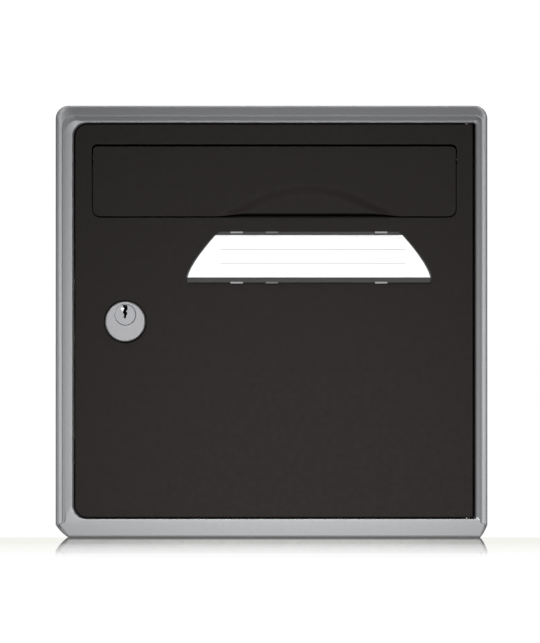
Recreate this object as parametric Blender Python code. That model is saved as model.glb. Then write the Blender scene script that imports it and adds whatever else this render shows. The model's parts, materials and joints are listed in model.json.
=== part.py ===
"""A wall-mounted letterbox, modelled as an assembly of its separate pieces.

Lengths are in metres, +Z is up and the door faces -Y. The origin is the centre of the back
panel's outer face, which rests on the wall, so the box fills y from -DEPTH to 0.
A "recess" is a distance behind the crest of the front frame, the foremost plane of the box.
"""

from math import acos, cos, hypot, pi, sin

import bmesh
import bpy
from mathutils import Vector

MM = 0.001

# Overall size
WIDTH = 300 * MM
HEIGHT = 300 * MM
DEPTH = 400 * MM
SHEET = 1.2 * MM  # steel sheet of the shell, the back, the door and the strike
FIT = 0.3 * MM  # gap between two pieces that touch
CORNER_STEPS = 5
ROUND_STEPS = 16
CUT_PAST = 2 * MM  # how far a cutter reaches past the surface that it cuts
SHARP_ANGLE = 0.6  # radians between two faces, above which their edge is drawn sharp

# Front frame
FRAME_CORNER = 9 * MM  # reach of the outer corners along the sides
FRAME_CORNER_LOW_RIGHT = 5 * MM  # reach of the lower right corner along the bottom
FRAME_CORNER_FLAT = 0.7  # how far the lower corners are flattened from a round to a chamfer
FRAME_WALL = 2.8 * MM
FRAME_EDGE = 2.2 * MM  # rounding of the outer edge
FACE_LEFT = 12.4 * MM
FACE_RIGHT = 8.1 * MM
FACE_BOTTOM = 12.9 * MM
FACE_TOP = 11.9 * MM
FACE_DROP = 2.6 * MM  # how far the face slopes back between its crest and the door opening
CROWN_DROP = 0.5 * MM
STEP_DROP = 1.3 * MM
BEAD_DROP = 2.1 * MM
CROWN_SHARE = 0.48  # shares of the face's width at which the slope breaks
STEP_SHARE = 0.58
BEAD_SHARE = 0.92
ROOF_OUTER = 3.0 * MM  # recess of the channel's roof, at the skirt and at the inner wall
ROOF_INNER = 4.6 * MM
REVEAL_WALL = 2.2 * MM
REVEAL_DEPTH = 14.5 * MM
SKIRT_DEPTH = 26.5 * MM
OPENING_CORNER_FREE = 9.5 * MM  # corners of the door opening on the lock side
OPENING_CORNER_HINGE = 1.5 * MM  # and on the hinge side

# Door
DOOR_RECESS = 3.4 * MM
DOOR_RETURN = 12 * MM
DOOR_EDGE = 1.0 * MM
GAP_FREE = 0.7 * MM
GAP_HINGE = 1.6 * MM
GAP_BOTTOM = 0.8 * MM
GAP_TOP = 0.7 * MM
HINGE_INSET = 4.2 * MM  # hinge axis from the door's edge and behind its front
HINGE_SETBACK = 3.9 * MM
PIN_RADIUS = 1.25 * MM
PIN_HEAD_RADIUS = 2.3 * MM
PIN_HEAD_THICKNESS = 1.2 * MM
PIN_PAST_BUSH = 1.5 * MM
BUSH_CLEARANCE = 0.25 * MM
BUSH_WALL = 0.6 * MM
BUSH_FLANGE_RADIUS = 2.6 * MM
BUSH_FLANGE_THICKNESS = 1.5 * MM

# Letter window, placed from the door's edges, flap and the slot frame behind it
WINDOW_FROM_LEFT = 12.0 * MM
WINDOW_FROM_RIGHT = 11.4 * MM
WINDOW_FROM_TOP = 14.1 * MM
WINDOW_HEIGHT = 51 * MM
WINDOW_CORNER_TOP = 3.5 * MM
WINDOW_CORNER_BOTTOM = 5.8 * MM
FLAP_GAP_SIDE = 0.8 * MM
FLAP_GAP_TOP = 1.5 * MM
FLAP_GAP_BOTTOM = 1.0 * MM
FLAP_THICKNESS = 1.6 * MM
FLAP_AXIS_DROP = 7 * MM  # flap hinge below the flap's top edge and behind its front
FLAP_AXIS_SETBACK = 4.2 * MM
LIP_HALF_WIDTH = 64.6 * MM
LIP_HEIGHT = 23.6 * MM
LIP_FLARE = 3.1 * MM
FLAP_COLUMNS = 36
FLAP_ROWS = 12
ROD_RADIUS = 1.25 * MM
ROD_CLEARANCE = 0.3 * MM
KNUCKLE_RADIUS = 2.9 * MM
KNUCKLE_LENGTH = 22 * MM
KNUCKLE_END_INSET = 16 * MM
KNUCKLES = 4
SPRING_WIRE = 0.3 * MM
SPRING_RADIUS = 1.95 * MM
SPRING_TURNS = 4
SPRING_LENGTH = 8 * MM
SPRING_LEG = 5.5 * MM
SPRING_STEPS = 8
CHUTE_WALL = 1.8 * MM
CHUTE_MARGIN = 0.7 * MM  # chute walls outside the window's edge
CHUTE_DEPTH = 28 * MM
CHUTE_CORNER = 1.5 * MM
FLANGE_SIDE = 9.0 * MM
FLANGE_END = 5.5 * MM
FLANGE_THICKNESS = 2 * MM
BUMPER_THICKNESS = 1.0 * MM
BUMPER_MARGIN = 0.8 * MM  # pads inside the flap's edge
BUMPER_FROM_LEDGE_EDGE = 0.4 * MM
LEDGE_THICKNESS = 2 * MM
LEDGE_WIDTH = 4.5 * MM
LEDGE_TOP_CLEARANCE = 5 * MM  # side ledges stop this far below the flap's hinge
STUD_RADIUS = 1.5 * MM
STUD_LENGTH = 7.5 * MM
STUD_OFFSET = 3.7 * MM  # studs outside the chute's wall
STUD_FROM_WINDOW_END = 10 * MM
STUD_FROM_WINDOW_TOP = 2.5 * MM
NUT_RADIUS = 3.1 * MM
NUT_THICKNESS = 2.4 * MM

# Name plate, placed below the window and, like the flap's lip, from the box's centre line
PLATE_CENTRE_X = 26 * MM
CARD_BELOW_WINDOW = 12 * MM
CARD_HEIGHT = 29.5 * MM
CARD_HALF_BOTTOM = 84.7 * MM
CARD_HALF_TOP = 64.7 * MM
CARD_SIDE_POWER = 1.36  # how the sides curve in towards the top
CARD_SIDE_POINTS = 8
CARD_THICKNESS = 0.4 * MM
COVER_BELOW = 3.4 * MM
COVER_ABOVE = 1.4 * MM
COVER_SIDE = 1.1 * MM
COVER_THICKNESS = 2 * MM
COVER_WINDOW = 1.3 * MM
TAB_ROOT = 0.6 * MM  # how far a tab starts inside the cover
TAB_WIDTH = 8.7 * MM
TAB_THICKNESS = 1.0 * MM
TAB_INSET = 0.2 * MM  # tabs inside the cover's edge
TAB_OFFSETS = (-50.2 * MM, -25.7 * MM, 50.2 * MM)
HOOK_REACH = 0.8 * MM
HOOK_THICKNESS = 1.2 * MM

# Lock, at the height of the box's centre line
LOCK_FROM_SIDE = 35.3 * MM
LOCK_Z = 0.0
BARREL_RADIUS = 12.4 * MM
BARREL_FLAT = 1.9 * MM  # depth of the flats cut from the round
ROSETTE_OVERLAP = 1.7 * MM
ROSETTE_THICKNESS = 2.2 * MM
ROSETTE_CHAMFER = 0.9 * MM
BARREL_REACH = 14.2 * MM  # behind the door's inner face
CLIP_THICKNESS = 1.0 * MM
CLIP_GROOVE = 1.2 * MM
CLIP_PAST_FLAT = 4.5 * MM
CLIP_PAST_ROUND = 3.1 * MM
PLUG_OFFSET = 4.9 * MM  # plug above the rosette's centre
PLUG_FACE_RADIUS = 7.1 * MM
PLUG_FACE_THICKNESS = 1.4 * MM
PLUG_RADIUS = 5.5 * MM
TAIL_HALF = 3 * MM
KEYWAY_HEIGHT = 9 * MM
KEYWAY_RISE = 2.1 * MM  # keyway's centre above the plug's
KEYWAY_WIDTH = 1.5 * MM
KEYWAY_DEPTH = 9 * MM
CAM_THICKNESS = 2 * MM
CAM_HUB_RADIUS = 8 * MM
CAM_TIP_RADIUS = 5 * MM
CAM_LENGTH = 28 * MM  # plug axis to the centre of the tip
CAM_SCREW_RADIUS = 1.5 * MM
CAM_SCREW_REACH = 6 * MM
WASHER_RADIUS = 5.5 * MM
WASHER_THICKNESS = 0.8 * MM

# Strike and door bumpers, on the lock side of the shell
STOP_THICKNESS = 1.6 * MM
STOP_WIDTH = 7 * MM
STOP_HEIGHT = 12 * MM
STOP_FROM_END = 4 * MM
STOP_CORNER = 2 * MM
STRIKE_REACH = 17.4 * MM  # flange out from the shell's wall
STRIKE_LEG = 22 * MM
STRIKE_BOTTOM = -100 * MM
STRIKE_TOP = 55 * MM
STRIKE_RIVET_FROM_END = 20 * MM
STRIKE_RIVET_BACK = 13 * MM

# Back panel and fasteners
BACK_FLANGE = 15 * MM
BACK_BEND = 0.8 * MM
FIXING_SPACING = 200 * MM
FIXING_RADIUS = 4 * MM
RIVET_SPACING = 150 * MM
RIVET_FROM_BACK = 8 * MM
RIVET_RADIUS = 2 * MM
RIVET_HEAD_RADIUS = 3.6 * MM
RIVET_HEAD_HEIGHT = 1.1 * MM
RIVET_DOME = ((0.4, 1.0), (0.8, 0.7))  # shares of the head's radius and of its height
RIVET_TAIL_RADIUS = 2.7 * MM
RIVET_TAIL_LENGTH = 2.2 * MM
FRAME_SCREW_SPACING = 200 * MM
FRAME_SCREW_FROM_REVEAL = 6 * MM
FRAME_SCREW_RADIUS = 1.75 * MM
FRAME_SCREW_HEAD_RADIUS = 3.5 * MM
FRAME_SCREW_HEAD_HEIGHT = 2.2 * MM
FRAME_SCREW_SKIN = 0.8 * MM  # skirt left outside the screw's tip
RECESS_RADIUS = 1.2 * MM  # driver recess in a screw's head
RECESS_DEPTH = 1.3 * MM
HEAD_CHAMFER = 0.7 * MM

# Places that follow from the sizes above
FRONT = -DEPTH
OUTER = (-WIDTH / 2, WIDTH / 2, -HEIGHT / 2, HEIGHT / 2)
FACES = (FACE_LEFT, FACE_RIGHT, FACE_BOTTOM, FACE_TOP)
SHELL_INSET = FRAME_WALL + FIT
SHELL_FRONT = FRONT + ROOF_INNER + FIT
DOOR_FRONT = FRONT + DOOR_RECESS
DOOR_INSIDE = DOOR_FRONT + SHEET
DOOR_REAR = DOOR_FRONT + DOOR_RETURN


def inset(box, amounts):
    """box is (left, right, bottom, top), moved inwards by one amount or by one for each side."""
    if not isinstance(amounts, tuple):
        amounts = (amounts,) * 4
    left, right, bottom, top = box
    return (left + amounts[0], right - amounts[1], bottom + amounts[2], top - amounts[3])


def round_corners(*radii):
    """A corner is (across, up, flat): its reach along each side, and its share of chamfer."""
    return tuple((radius, radius, 0.0) for radius in radii)


def same_corners(radius):
    return round_corners(radius, radius, radius, radius)


def corners_inset(corners, amount):
    """The corners of an outline that runs at this distance inside another."""
    least = 0.2 * MM
    moved = []
    for across, up, flat in corners:
        chamfer = 1 / across + 1 / up - hypot(1 / across, 1 / up)
        shrink = amount * ((1 - flat) * 2 / (across + up) + flat * chamfer)
        reach = max(1 - shrink, least / min(across, up))
        moved.append((across * reach, up * reach, flat))
    return tuple(moved)


OPENING = inset(OUTER, FACES)
OPENING_CORNERS = round_corners(
    OPENING_CORNER_FREE, OPENING_CORNER_HINGE, OPENING_CORNER_HINGE, OPENING_CORNER_FREE
)
FRAME_CORNERS = (
    (FRAME_CORNER, FRAME_CORNER, FRAME_CORNER_FLAT),
    (FRAME_CORNER_LOW_RIGHT, FRAME_CORNER, FRAME_CORNER_FLAT),
    *round_corners(FRAME_CORNER, FRAME_CORNER),
)
DOOR_BOX = inset(OPENING, (GAP_FREE, GAP_HINGE, GAP_BOTTOM, GAP_TOP))
DOOR_CORNERS = corners_inset(OPENING_CORNERS, GAP_FREE)
SHELL_BOX = inset(OUTER, SHELL_INSET)
SHELL_CORNERS = corners_inset(FRAME_CORNERS, SHELL_INSET)
SHELL_INSIDE = inset(SHELL_BOX, SHEET)
HINGE = Vector((DOOR_BOX[1] - HINGE_INSET, DOOR_FRONT + HINGE_SETBACK, 0))
BUSH_BORE = PIN_RADIUS + BUSH_CLEARANCE
BUSH_RADIUS = BUSH_BORE + BUSH_WALL
WINDOW = (
    DOOR_BOX[0] + WINDOW_FROM_LEFT,
    DOOR_BOX[1] - WINDOW_FROM_RIGHT,
    DOOR_BOX[3] - WINDOW_FROM_TOP - WINDOW_HEIGHT,
    DOOR_BOX[3] - WINDOW_FROM_TOP,
)
WINDOW_WIDTH = WINDOW[1] - WINDOW[0]
WINDOW_CENTRE_X = (WINDOW[0] + WINDOW[1]) / 2
WINDOW_CORNERS = round_corners(
    WINDOW_CORNER_BOTTOM, WINDOW_CORNER_BOTTOM, WINDOW_CORNER_TOP, WINDOW_CORNER_TOP
)
FLAP = inset(WINDOW, (FLAP_GAP_SIDE, FLAP_GAP_SIDE, FLAP_GAP_BOTTOM, FLAP_GAP_TOP))
FLAP_BACK = DOOR_FRONT + FLAP_THICKNESS
FLAP_AXIS = Vector((WINDOW_CENTRE_X, DOOR_FRONT + FLAP_AXIS_SETBACK, FLAP[3] - FLAP_AXIS_DROP))
CHUTE_INSIDE = inset(WINDOW, -CHUTE_MARGIN)
CHUTE_OUTSIDE = inset(CHUTE_INSIDE, -CHUTE_WALL)
CHUTE_FRONT = DOOR_INSIDE + FIT
BUMPER_FRONT = FLAP_BACK + FIT
LEDGE_FRONT = BUMPER_FRONT + BUMPER_THICKNESS + FIT
STUDS = [
    (x, z)
    for x in (CHUTE_OUTSIDE[0] - STUD_OFFSET, CHUTE_OUTSIDE[1] + STUD_OFFSET)
    for z in (WINDOW[2] + STUD_FROM_WINDOW_END, WINDOW[3] - STUD_FROM_WINDOW_TOP)
]
CARD_TOP = WINDOW[2] - CARD_BELOW_WINDOW
CARD_BOTTOM = CARD_TOP - CARD_HEIGHT
ROSETTE_RADIUS = BARREL_RADIUS + ROSETTE_OVERLAP
BARREL_HALF_FLAT = BARREL_RADIUS - BARREL_FLAT
LOCK_X = DOOR_BOX[0] + LOCK_FROM_SIDE
LOCK = Vector((LOCK_X, DOOR_FRONT, LOCK_Z))
PLUG = Vector((LOCK_X, DOOR_FRONT, LOCK_Z + PLUG_OFFSET))
ROSETTE_BACK = DOOR_FRONT - FIT
ROSETTE_FRONT = ROSETTE_BACK - ROSETTE_THICKNESS
BARREL_REAR = DOOR_INSIDE + BARREL_REACH
PLUG_REAR = BARREL_REAR + FIT
CAM_FRONT = PLUG_REAR + FIT
CAM_REAR = CAM_FRONT + CAM_THICKNESS
TAIL_REAR = CAM_REAR + FIT
STOP_FRONT = DOOR_REAR + FIT
STRIKE_FRONT = STOP_FRONT + STOP_THICKNESS + FIT
STRIKE_EDGE = SHELL_INSIDE[0] + STRIKE_REACH


# Mesh building


def clear_scene():
    for obj in list(bpy.data.objects):
        bpy.data.objects.remove(obj)


def material(name, color, roughness, metallic=0.0):
    made = bpy.data.materials.new(name)
    made.use_nodes = True
    shader = made.node_tree.nodes["Principled BSDF"]
    shader.inputs["Base Color"].default_value = (*color, 1)
    shader.inputs["Roughness"].default_value = roughness
    shader.inputs["Metallic"].default_value = metallic
    return made


def finished(name, bm, finish, smooth=False):
    """Turns a bmesh into an object whose faces point outwards."""
    bmesh.ops.recalc_face_normals(bm, faces=bm.faces[:])
    mesh = bpy.data.meshes.new(name)
    bm.to_mesh(mesh)
    bm.free()
    if smooth:
        mesh.shade_smooth()
        mesh.set_sharp_from_angle(angle=SHARP_ANGLE)
    if finish is not None:
        mesh.materials.append(finish)
    obj = bpy.data.objects.new(name, mesh)
    bpy.context.scene.collection.objects.link(obj)
    return obj


def copy_of(original, name):
    obj = bpy.data.objects.new(name, original.data)
    bpy.context.scene.collection.objects.link(obj)
    return obj


def aim(obj, location, direction):
    """Puts the object's own +Z along direction."""
    obj.location = location
    obj.rotation_mode = "QUATERNION"
    obj.rotation_quaternion = Vector(direction).to_track_quat("Z", "Y")
    return obj


def add_skin(bm, rings, closed):
    """A skin through rings of equally many points. Closed joins the last ring to the first."""
    rows = [[bm.verts.new(point) for point in ring] for ring in rings]
    pairs = list(zip(rows, rows[1:]))
    if closed:
        pairs.append((rows[-1], rows[0]))
    else:
        bm.faces.new(rows[0])
        bm.faces.new(rows[-1])
    for first, second in pairs:
        for index, corner in enumerate(first):
            after = (index + 1) % len(first)
            bm.faces.new((corner, first[after], second[after], second[index]))


def loft(name, rings, finish, closed=False, smooth=False):
    bm = bmesh.new()
    add_skin(bm, rings, closed)
    return finished(name, bm, finish, smooth)


def rounded_outline(box, corners, steps=CORNER_STEPS):
    """(x, z) points anticlockwise round a box, from its lower left corner."""
    left, right, bottom, top = box
    places = (
        (left, bottom, 1, 1, pi),
        (right, bottom, -1, 1, 1.5 * pi),
        (right, top, -1, -1, 0.0),
        (left, top, 1, -1, 0.5 * pi),
    )
    points = []
    for (x, z, inwards_x, inwards_z, start), (across, up, flat) in zip(places, corners):
        end = start + 0.5 * pi
        for step in range(steps + 1):
            share = step / steps
            angle = start + share * (end - start)
            chord_x = (1 - share) * cos(start) + share * cos(end)
            chord_z = (1 - share) * sin(start) + share * sin(end)
            out_x = (1 - flat) * cos(angle) + flat * chord_x
            out_z = (1 - flat) * sin(angle) + flat * chord_z
            points.append((x + across * (inwards_x + out_x), z + up * (inwards_z + out_z)))
    return points


def at_depth(outline, y):
    return [(x, y, z) for x, z in outline]


def slab_rings(outline, front, rear):
    return [at_depth(outline, front), at_depth(outline, rear)]


def block(box, front, rear):
    left, right, bottom, top = box
    return slab_rings([(left, bottom), (right, bottom), (right, top), (left, top)], front, rear)


def turned_rings(profile, steps=ROUND_STEPS):
    """Rings about the local Z axis through (radius, height) points."""
    rings = []
    for radius, height in profile:
        angles = [2 * pi * step / steps for step in range(steps)]
        rings.append([(radius * cos(angle), radius * sin(angle), height) for angle in angles])
    return rings


def clipped_round(radius, half_flat, centre, steps=2 * ROUND_STEPS):
    """(x, z) points round a circle with a flat on its left and on its right."""
    points = []
    for step in range(steps):
        angle = 2 * pi * (step + 0.5) / steps
        across = max(-half_flat, min(half_flat, radius * cos(angle)))
        points.append((centre.x + across, centre.z + radius * sin(angle)))
    return points


def cylinder_rings(centre, direction, radius, start, end, steps=ROUND_STEPS):
    """Two rings of a cylinder along direction, from start to end measured from centre."""
    turn = Vector(direction).to_track_quat("Z", "Y")
    local = turned_rings([(radius, start), (radius, end)], steps)
    return [[Vector(centre) + turn @ Vector(point) for point in ring] for ring in local]


def use(target, name, shapes, operation):
    """Cuts shapes from the target or joins them to it. Each shape is a list of rings."""
    bm = bmesh.new()
    for rings in shapes:
        add_skin(bm, rings, closed=False)
    tool = finished(f"{target.name}_{name}", bm, None)
    tool.hide_render = True
    tool.display_type = "WIRE"
    modifier = target.modifiers.new(name, "BOOLEAN")
    modifier.object = tool
    modifier.operation = operation
    modifier.solver = "EXACT"


def cut(target, name, shapes):
    use(target, name, shapes, "DIFFERENCE")


def join(target, name, shapes):
    use(target, name, shapes, "UNION")


# Housing: shell, back panel, strike and their fasteners


def side_seats(box, spacing, y, sides="lrbt"):
    """Places on the box's sides, each with the direction that faces out: two to a side."""
    left, right, bottom, top = box
    seats = []
    for along in (-spacing / 2, spacing / 2):
        seats += [(Vector((left, y, along)), Vector((-1, 0, 0)))] * ("l" in sides)
        seats += [(Vector((right, y, along)), Vector((1, 0, 0)))] * ("r" in sides)
        seats += [(Vector((along, y, bottom)), Vector((0, 0, -1)))] * ("b" in sides)
        seats += [(Vector((along, y, top)), Vector((0, 0, 1)))] * ("t" in sides)
    return seats


BACK_RIVETS = side_seats(SHELL_BOX, RIVET_SPACING, -RIVET_FROM_BACK)
STRIKE_RIVETS = [
    (Vector((SHELL_BOX[0], STRIKE_FRONT + STRIKE_RIVET_BACK, z)), Vector((-1, 0, 0)))
    for z in (STRIKE_TOP - STRIKE_RIVET_FROM_END, STRIKE_BOTTOM + STRIKE_RIVET_FROM_END)
]
FRAME_SCREWS = side_seats(
    SHELL_INSIDE, FRAME_SCREW_SPACING, FRONT + REVEAL_DEPTH + FRAME_SCREW_FROM_REVEAL, "bt"
)


def rivet_holes(seats):
    reach = 2 * SHEET + FIT + CUT_PAST
    radius = RIVET_RADIUS + FIT
    return [cylinder_rings(seat, out, radius, -reach, CUT_PAST, 12) for seat, out in seats]


def frame_screw_holes():
    tip = FIT + SHEET + FRAME_WALL - FRAME_SCREW_SKIN
    radius = FRAME_SCREW_RADIUS + FIT
    return [cylinder_rings(seat, out, radius, -CUT_PAST, tip, 12) for seat, out in FRAME_SCREWS]


def make_shell(finish):
    outside = rounded_outline(SHELL_BOX, SHELL_CORNERS)
    inside = rounded_outline(SHELL_INSIDE, corners_inset(SHELL_CORNERS, SHEET))
    rings = [
        at_depth(outside, SHELL_FRONT),
        at_depth(outside, 0),
        at_depth(inside, 0),
        at_depth(inside, SHELL_FRONT),
    ]
    shell = loft("body_shell", rings, finish, closed=True, smooth=True)
    cut(shell, "rivet_holes", rivet_holes(BACK_RIVETS + STRIKE_RIVETS))
    cut(shell, "screw_holes", frame_screw_holes())
    return shell


def make_back_panel(finish):
    outside = inset(SHELL_INSIDE, FIT)
    corners = corners_inset(SHELL_CORNERS, SHEET + FIT)
    rim = rounded_outline(outside, corners)
    face = rounded_outline(inset(outside, BACK_BEND), corners_inset(corners, BACK_BEND))
    inner = rounded_outline(inset(outside, SHEET), corners_inset(corners, SHEET))
    rings = [
        at_depth(face, 0),
        at_depth(rim, -BACK_BEND),
        at_depth(rim, -BACK_FLANGE),
        at_depth(inner, -BACK_FLANGE),
        at_depth(inner, -SHEET),
    ]
    panel = loft("back_panel", rings, finish, smooth=True)
    half = FIXING_SPACING / 2
    fixings = [(x, 0, z) for x in (-half, half) for z in (-half, half)]
    reach = SHEET + CUT_PAST
    holes = [cylinder_rings(place, (0, 1, 0), FIXING_RADIUS, -reach, CUT_PAST) for place in fixings]
    cut(panel, "fixing_holes", holes)
    cut(panel, "rivet_holes", rivet_holes(BACK_RIVETS))
    return panel


def make_rivets(finish):
    grip = 2 * SHEET + 2 * FIT
    profile = [
        *[(out * RIVET_HEAD_RADIUS, FIT + up * RIVET_HEAD_HEIGHT) for out, up in RIVET_DOME],
        (RIVET_HEAD_RADIUS, FIT),
        (RIVET_RADIUS, FIT),
        (RIVET_RADIUS, -grip),
        (RIVET_TAIL_RADIUS, -grip),
        (RIVET_TAIL_RADIUS, -grip - RIVET_TAIL_LENGTH),
    ]
    first = loft("back_panel_rivet_1", turned_rings(profile, 12), finish, smooth=True)
    rivets = []
    for number, (seat, out) in enumerate(BACK_RIVETS, 1):
        rivet = first if number == 1 else copy_of(first, f"back_panel_rivet_{number}")
        rivets.append(aim(rivet, seat, out))
    for name, (seat, out) in zip(("upper", "lower"), STRIKE_RIVETS):
        rivets.append(aim(copy_of(first, f"strike_rivet_{name}"), seat, out))
    return rivets


def make_strike(finish):
    """An angle along the lock side: the cam turns in behind its flange."""
    wall = SHELL_INSIDE[0] + FIT
    rear = STRIKE_FRONT + STRIKE_LEG
    bend = STRIKE_FRONT + SHEET
    section = (
        (wall, STRIKE_FRONT),
        (STRIKE_EDGE, STRIKE_FRONT),
        (STRIKE_EDGE, bend),
        (wall + SHEET, bend),
        (wall + SHEET, rear),
        (wall, rear),
    )
    rings = [[(x, y, z) for x, y in section] for z in (STRIKE_BOTTOM, STRIKE_TOP)]
    strike = loft("lock_strike", rings, finish)
    cut(strike, "rivet_holes", rivet_holes(STRIKE_RIVETS))
    return strike


def make_door_bumpers(finish):
    centre_x = DOOR_BOX[0] + SHEET / 2
    bumpers = []
    for name, z in (
        ("upper", STRIKE_TOP - STOP_FROM_END - STOP_HEIGHT / 2),
        ("lower", STRIKE_BOTTOM + STOP_FROM_END + STOP_HEIGHT / 2),
    ):
        half_width = STOP_WIDTH / 2
        half_height = STOP_HEIGHT / 2
        box = (centre_x - half_width, centre_x + half_width, z - half_height, z + half_height)
        outline = rounded_outline(box, same_corners(STOP_CORNER), 3)
        rings = slab_rings(outline, STOP_FRONT, STOP_FRONT + STOP_THICKNESS)
        bumpers.append(loft(f"door_bumper_{name}", rings, finish, smooth=True))
    return bumpers


# Front frame


def frame_ring(share, recess):
    """A ring of the face, at a share of the way from the outer edge to the door opening."""
    insets = tuple(share * width for width in FACES)
    corners = []
    for outer, opening in zip(FRAME_CORNERS, OPENING_CORNERS):
        corners.append([(1 - share) * far + share * near for far, near in zip(outer, opening)])
    return at_depth(rounded_outline(inset(OUTER, insets), corners), FRONT + recess)


def edge_ring(amount, recess):
    corners = corners_inset(FRAME_CORNERS, amount)
    return at_depth(rounded_outline(inset(OUTER, amount), corners), FRONT + recess)


def reveal_ring(grow, recess):
    corners = corners_inset(OPENING_CORNERS, -grow)
    return at_depth(rounded_outline(inset(OPENING, -grow), corners), FRONT + recess)


def make_frame(finish):
    """A moulded channel: the shell's front edge sits between its skirt and its inner wall."""
    rings = [
        edge_ring(0, SKIRT_DEPTH),
        edge_ring(0, FRAME_EDGE),
        edge_ring((1 - cos(pi / 4)) * FRAME_EDGE, (1 - sin(pi / 4)) * FRAME_EDGE),
        edge_ring(FRAME_EDGE, 0),
        frame_ring(CROWN_SHARE, CROWN_DROP),
        frame_ring(STEP_SHARE, STEP_DROP),
        frame_ring(BEAD_SHARE, BEAD_DROP),
        frame_ring(1, FACE_DROP),
        reveal_ring(0, REVEAL_DEPTH),
        reveal_ring(REVEAL_WALL, REVEAL_DEPTH),
        reveal_ring(REVEAL_WALL, ROOF_INNER),
        edge_ring(FRAME_WALL, ROOF_OUTER),
        edge_ring(FRAME_WALL, SKIRT_DEPTH),
    ]
    frame = loft("front_frame", rings, finish, closed=True, smooth=True)
    cut(frame, "screw_holes", frame_screw_holes())
    radius = PIN_RADIUS + FIT
    pins = []
    for seat, out in hinge_seats():
        pins.append(cylinder_rings(seat, out, radius, -REVEAL_WALL - CUT_PAST, CUT_PAST))
    cut(frame, "pin_holes", pins)
    return frame


def screw_head(top):
    """The profile of a recessed, chamfered head, from the recess out to the head's side."""
    return [
        (RECESS_RADIUS, top - RECESS_DEPTH),
        (RECESS_RADIUS, top),
        (FRAME_SCREW_HEAD_RADIUS - HEAD_CHAMFER, top),
        (FRAME_SCREW_HEAD_RADIUS, top - HEAD_CHAMFER),
    ]


def make_frame_screws(finish):
    """Short screws from inside the shell into the frame's skirt, head inwards."""
    tip = FIT + SHEET + FRAME_WALL - FRAME_SCREW_SKIN - FIT
    head = FIT + FRAME_SCREW_HEAD_HEIGHT
    profile = [
        *screw_head(head),
        (FRAME_SCREW_HEAD_RADIUS, FIT),
        (FRAME_SCREW_RADIUS, FIT),
        (FRAME_SCREW_RADIUS, -tip),
    ]
    first = loft("frame_screw_1", turned_rings(profile, 12), finish, smooth=True)
    screws = []
    for number, (seat, out) in enumerate(FRAME_SCREWS, 1):
        screw = first if number == 1 else copy_of(first, f"frame_screw_{number}")
        screws.append(aim(screw, seat, -out))
    return screws


# Door and its hinge


def hinge_seats():
    """The channel side of the frame's inner wall, above and below, where the pins' heads sit."""
    top = OPENING[3] + REVEAL_WALL
    bottom = OPENING[2] - REVEAL_WALL
    return [
        (Vector((HINGE.x, HINGE.y, top)), Vector((0, 0, 1))),
        (Vector((HINGE.x, HINGE.y, bottom)), Vector((0, 0, -1))),
    ]


def make_hinge_pins(finish):
    widest_gap = max(GAP_TOP, GAP_BOTTOM)
    reach = REVEAL_WALL + widest_gap + SHEET + FIT + BUSH_FLANGE_THICKNESS + PIN_PAST_BUSH
    profile = [
        (PIN_HEAD_RADIUS, FIT + PIN_HEAD_THICKNESS),
        (PIN_HEAD_RADIUS, FIT),
        (PIN_RADIUS, FIT),
        (PIN_RADIUS, -reach),
    ]
    upper = loft("hinge_pin_upper", turned_rings(profile), finish, smooth=True)
    pins = [upper, copy_of(upper, "hinge_pin_lower")]
    for pin, (seat, out) in zip(pins, hinge_seats()):
        aim(pin, seat, out)
    return pins


def make_hinge_bushes(finish):
    """Flanged bushes in the door's returns, flat towards the door's front and rear."""
    flat = HINGE_SETBACK - SHEET - FIT
    seat = -SHEET - FIT
    rings = []
    for radius, height in (
        (BUSH_BORE, FIT),
        (BUSH_RADIUS, FIT),
        (BUSH_RADIUS, seat),
        (BUSH_FLANGE_RADIUS, seat),
        (BUSH_FLANGE_RADIUS, seat - BUSH_FLANGE_THICKNESS),
        (BUSH_BORE, seat - BUSH_FLANGE_THICKNESS),
    ):
        ring = turned_rings([(radius, height)], 2 * ROUND_STEPS)[0]
        rings.append([(x, max(-flat, min(flat, y)), z) for x, y, z in ring])
    upper = loft("hinge_bush_upper", rings, finish, closed=True, smooth=True)
    upper.location = (HINGE.x, HINGE.y, DOOR_BOX[3])
    lower = copy_of(upper, "hinge_bush_lower")
    lower.location = (HINGE.x, HINGE.y, DOOR_BOX[2])
    lower.rotation_euler.x = pi
    return [upper, lower]


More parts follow.
